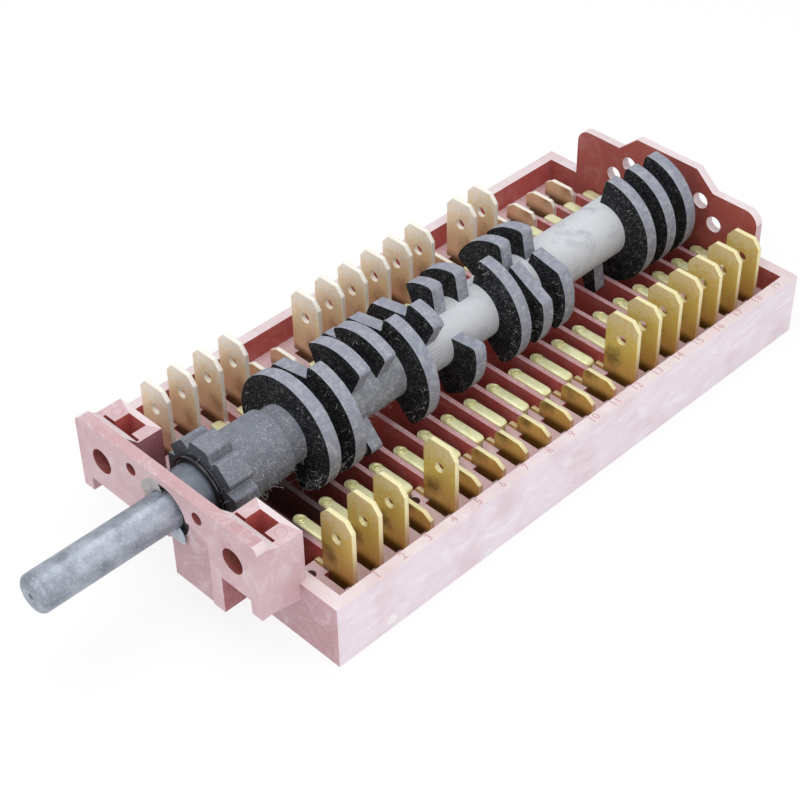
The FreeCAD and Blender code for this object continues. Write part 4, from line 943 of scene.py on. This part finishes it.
def add_camera():
    """The camera: its place in millimetres and its three angles in degrees, with a long lens."""
    place = Vector((151.65, -102.70, 174.23)) * MM
    azimuth, elevation, roll = (math.radians(angle) for angle in (45.724, 40.713, -1.004))
    back = Vector((math.sin(azimuth) * math.cos(elevation),
                   -math.cos(azimuth) * math.cos(elevation), math.sin(elevation)))
    level = Vector((math.cos(azimuth), math.sin(azimuth), 0))
    upright = back.cross(level)
    right = level * math.cos(roll) + upright * math.sin(roll)
    up = back.cross(right)
    data = bpy.data.cameras.new("camera")
    data.lens = 82.42
    data.sensor_width = 36
    data.clip_start = 0.01
    data.clip_end = 10
    camera = put_in_scene("camera", data)
    turned = Matrix((right, up, back)).transposed().to_4x4()
    turned.translation = place
    camera.matrix_world = turned
    bpy.context.scene.camera = camera


def add_area_light(name, place, aim, size, power):
    """A square softbox at a place in millimetres, turned to its aim."""
    data = bpy.data.lights.new(name, "AREA")
    data.size = size * MM
    data.energy = power
    lamp = put_in_scene(name, data)
    lamp.location = Vector(place) * MM
    lamp.rotation_euler = (Vector(aim) - Vector(place)).to_track_quat("-Z", "Y").to_euler()


def add_studio():
    """A pale floor under the switch, soft light from above and a white world."""
    world = bpy.data.worlds.new("studio")
    bpy.context.scene.world = world
    tree = empty_tree(world)
    ray = add_node(tree, "ShaderNodeLightPath")
    seen = add_node(tree, "ShaderNodeMath", {
        0: ray.outputs["Is Camera Ray"], 1: ray.outputs["Is Glossy Ray"]}, operation="MAXIMUM")
    strength = add_node(tree, "ShaderNodeMapRange", {
        "Value": seen.outputs["Value"], "To Min": 0.62, "To Max": 1.0})
    background = add_node(tree, "ShaderNodeBackground", {
        "Color": (1, 1, 1, 1), "Strength": strength.outputs["Result"]})
    add_node(tree, "ShaderNodeOutputWorld", {"Surface": background.outputs["Background"]})

    floor_z = housing_low[2] * MM
    reach = 2.0
    mesh = bpy.data.meshes.new("floor")
    corners = [(-reach, -reach, floor_z), (reach, -reach, floor_z), (reach, reach, floor_z),
               (-reach, reach, floor_z)]
    mesh.from_pydata(corners, [], [(0, 1, 2, 3)])
    floor = put_in_scene("floor", mesh)
    material = bpy.data.materials.new("white_paper_sweep")
    tree = empty_tree(material)
    paper = add_node(tree, "ShaderNodeBsdfDiffuse", {"Color": (0.9, 0.9, 0.9, 1)})
    glow = add_node(tree, "ShaderNodeEmission", {"Color": (1, 1, 1, 1), "Strength": 1.04})
    # the camera and glossy faces see four parts of the glow to one of the paper with its shadow
    ray = add_node(tree, "ShaderNodeLightPath")
    seen = add_node(tree, "ShaderNodeMath", {
        0: ray.outputs["Is Camera Ray"], 1: ray.outputs["Is Glossy Ray"]}, operation="MAXIMUM")
    share = add_node(tree, "ShaderNodeMath", {0: seen.outputs["Value"], 1: 0.80}, operation="MULTIPLY")
    blend = add_node(tree, "ShaderNodeMixShader", {
        0: share.outputs["Value"], 1: paper.outputs["BSDF"], 2: glow.outputs["Emission"]})
    add_node(tree, "ShaderNodeOutputMaterial", {"Surface": blend.outputs["Shader"]})
    mesh.materials.append(material)

    middle = (0, 50, -8)
    add_area_light("overhead_softbox", (-40, 0, 420), middle, size=320, power=0.62)
    add_area_light("right_softbox", (330, -60, 190), middle, size=260, power=0.34)
    add_area_light("front_softbox", (-60, -330, 170), middle, size=240, power=0.20)


add_camera()
add_studio()

moulding = thermoset_moulding()
black_nylon = cam_moulding()
steel = spindle_metal()
gold_brass = stamped_brass("stamped_brass_warm", "#e3ca6a", "#efe6b6", "#b77b2c", "#5f4726",
                           metallic=0.28, dust=0.42, stain_top=-3.5)
pale_brass = stamped_brass("stamped_brass_pale", "#efd9b2", "#fffaf0", "#cb8f58", "#a87b56",
                           metallic=0.10, dust=0.95, stain_top=-2.5)
bright_brass = plain_finish("bright_strip_brass", "#dfdea8", "#edecc2", mark_size=1.2, roughness=0.32,
                            metallic=0.2, side="#cabf80")
bright_rivet = plain_finish("bright_rivet_metal", "#dcd995", "#ebe8b4", mark_size=0.8, roughness=0.28,
                            metallic=0.3, side="#a89750")
bronze = plain_finish("spring_bronze_strip", "#8f6a3c", "#a9804a", mark_size=1.5, roughness=0.36,
                      metallic=0.8)
grease = plain_finish("fresh_bearing_grease", "#a3afbd", "#b8c3ce", mark_size=0.9, roughness=0.35)
old_grease = plain_finish("dusty_bearing_grease", "#a29e9d", "#b7b3b1", mark_size=0.9,
                          roughness=0.5)
lint = plain_finish("pale_lint", "#cfd0cf", "#f3f3f0", mark_size=1.0, roughness=0.8)
black_grease = plain_finish("black_groove_grease", "#0c0d10", "#1a1c20", mark_size=1.5,
                            roughness=0.18)
hole_shadow = plain_finish("painted_hole_shade", "#3a1615", "#4a1e1c", mark_size=0.8, roughness=0.8)

dress_housing(moulding)
dress_camshaft(black_nylon)
dress_plain("spindle", "spindle_turned", steel, "camshaft", STEEL_EDGE_ROUND)
dress_plain("rear_pivot", "rear_pivot_turned", steel, "body", STEEL_EDGE_ROUND)
for station in range(1, STATION_COUNT + 1):
    for side, material in (("right", gold_brass), ("left", pale_brass)):
        place = "%s_%02d" % (side, station)
        dress_plain("terminal_" + place, "blade_" + place, material, "body",
                    BLADE_EDGE_ROUND)
make_contacts(bright_brass, bright_rivet)
make_lint(lint)
make_grease(grease, old_grease)
make_groove_ring(black_grease)
make_marks(moulding, hole_shadow)
make_rim_numbers(moulding)

for name in ("detent_leaf", "bridge_springs"):
    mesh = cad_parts[name].data
    mesh.materials.clear()
    mesh.materials.append(bronze)

bpy.context.scene.view_settings.view_transform = "Standard"
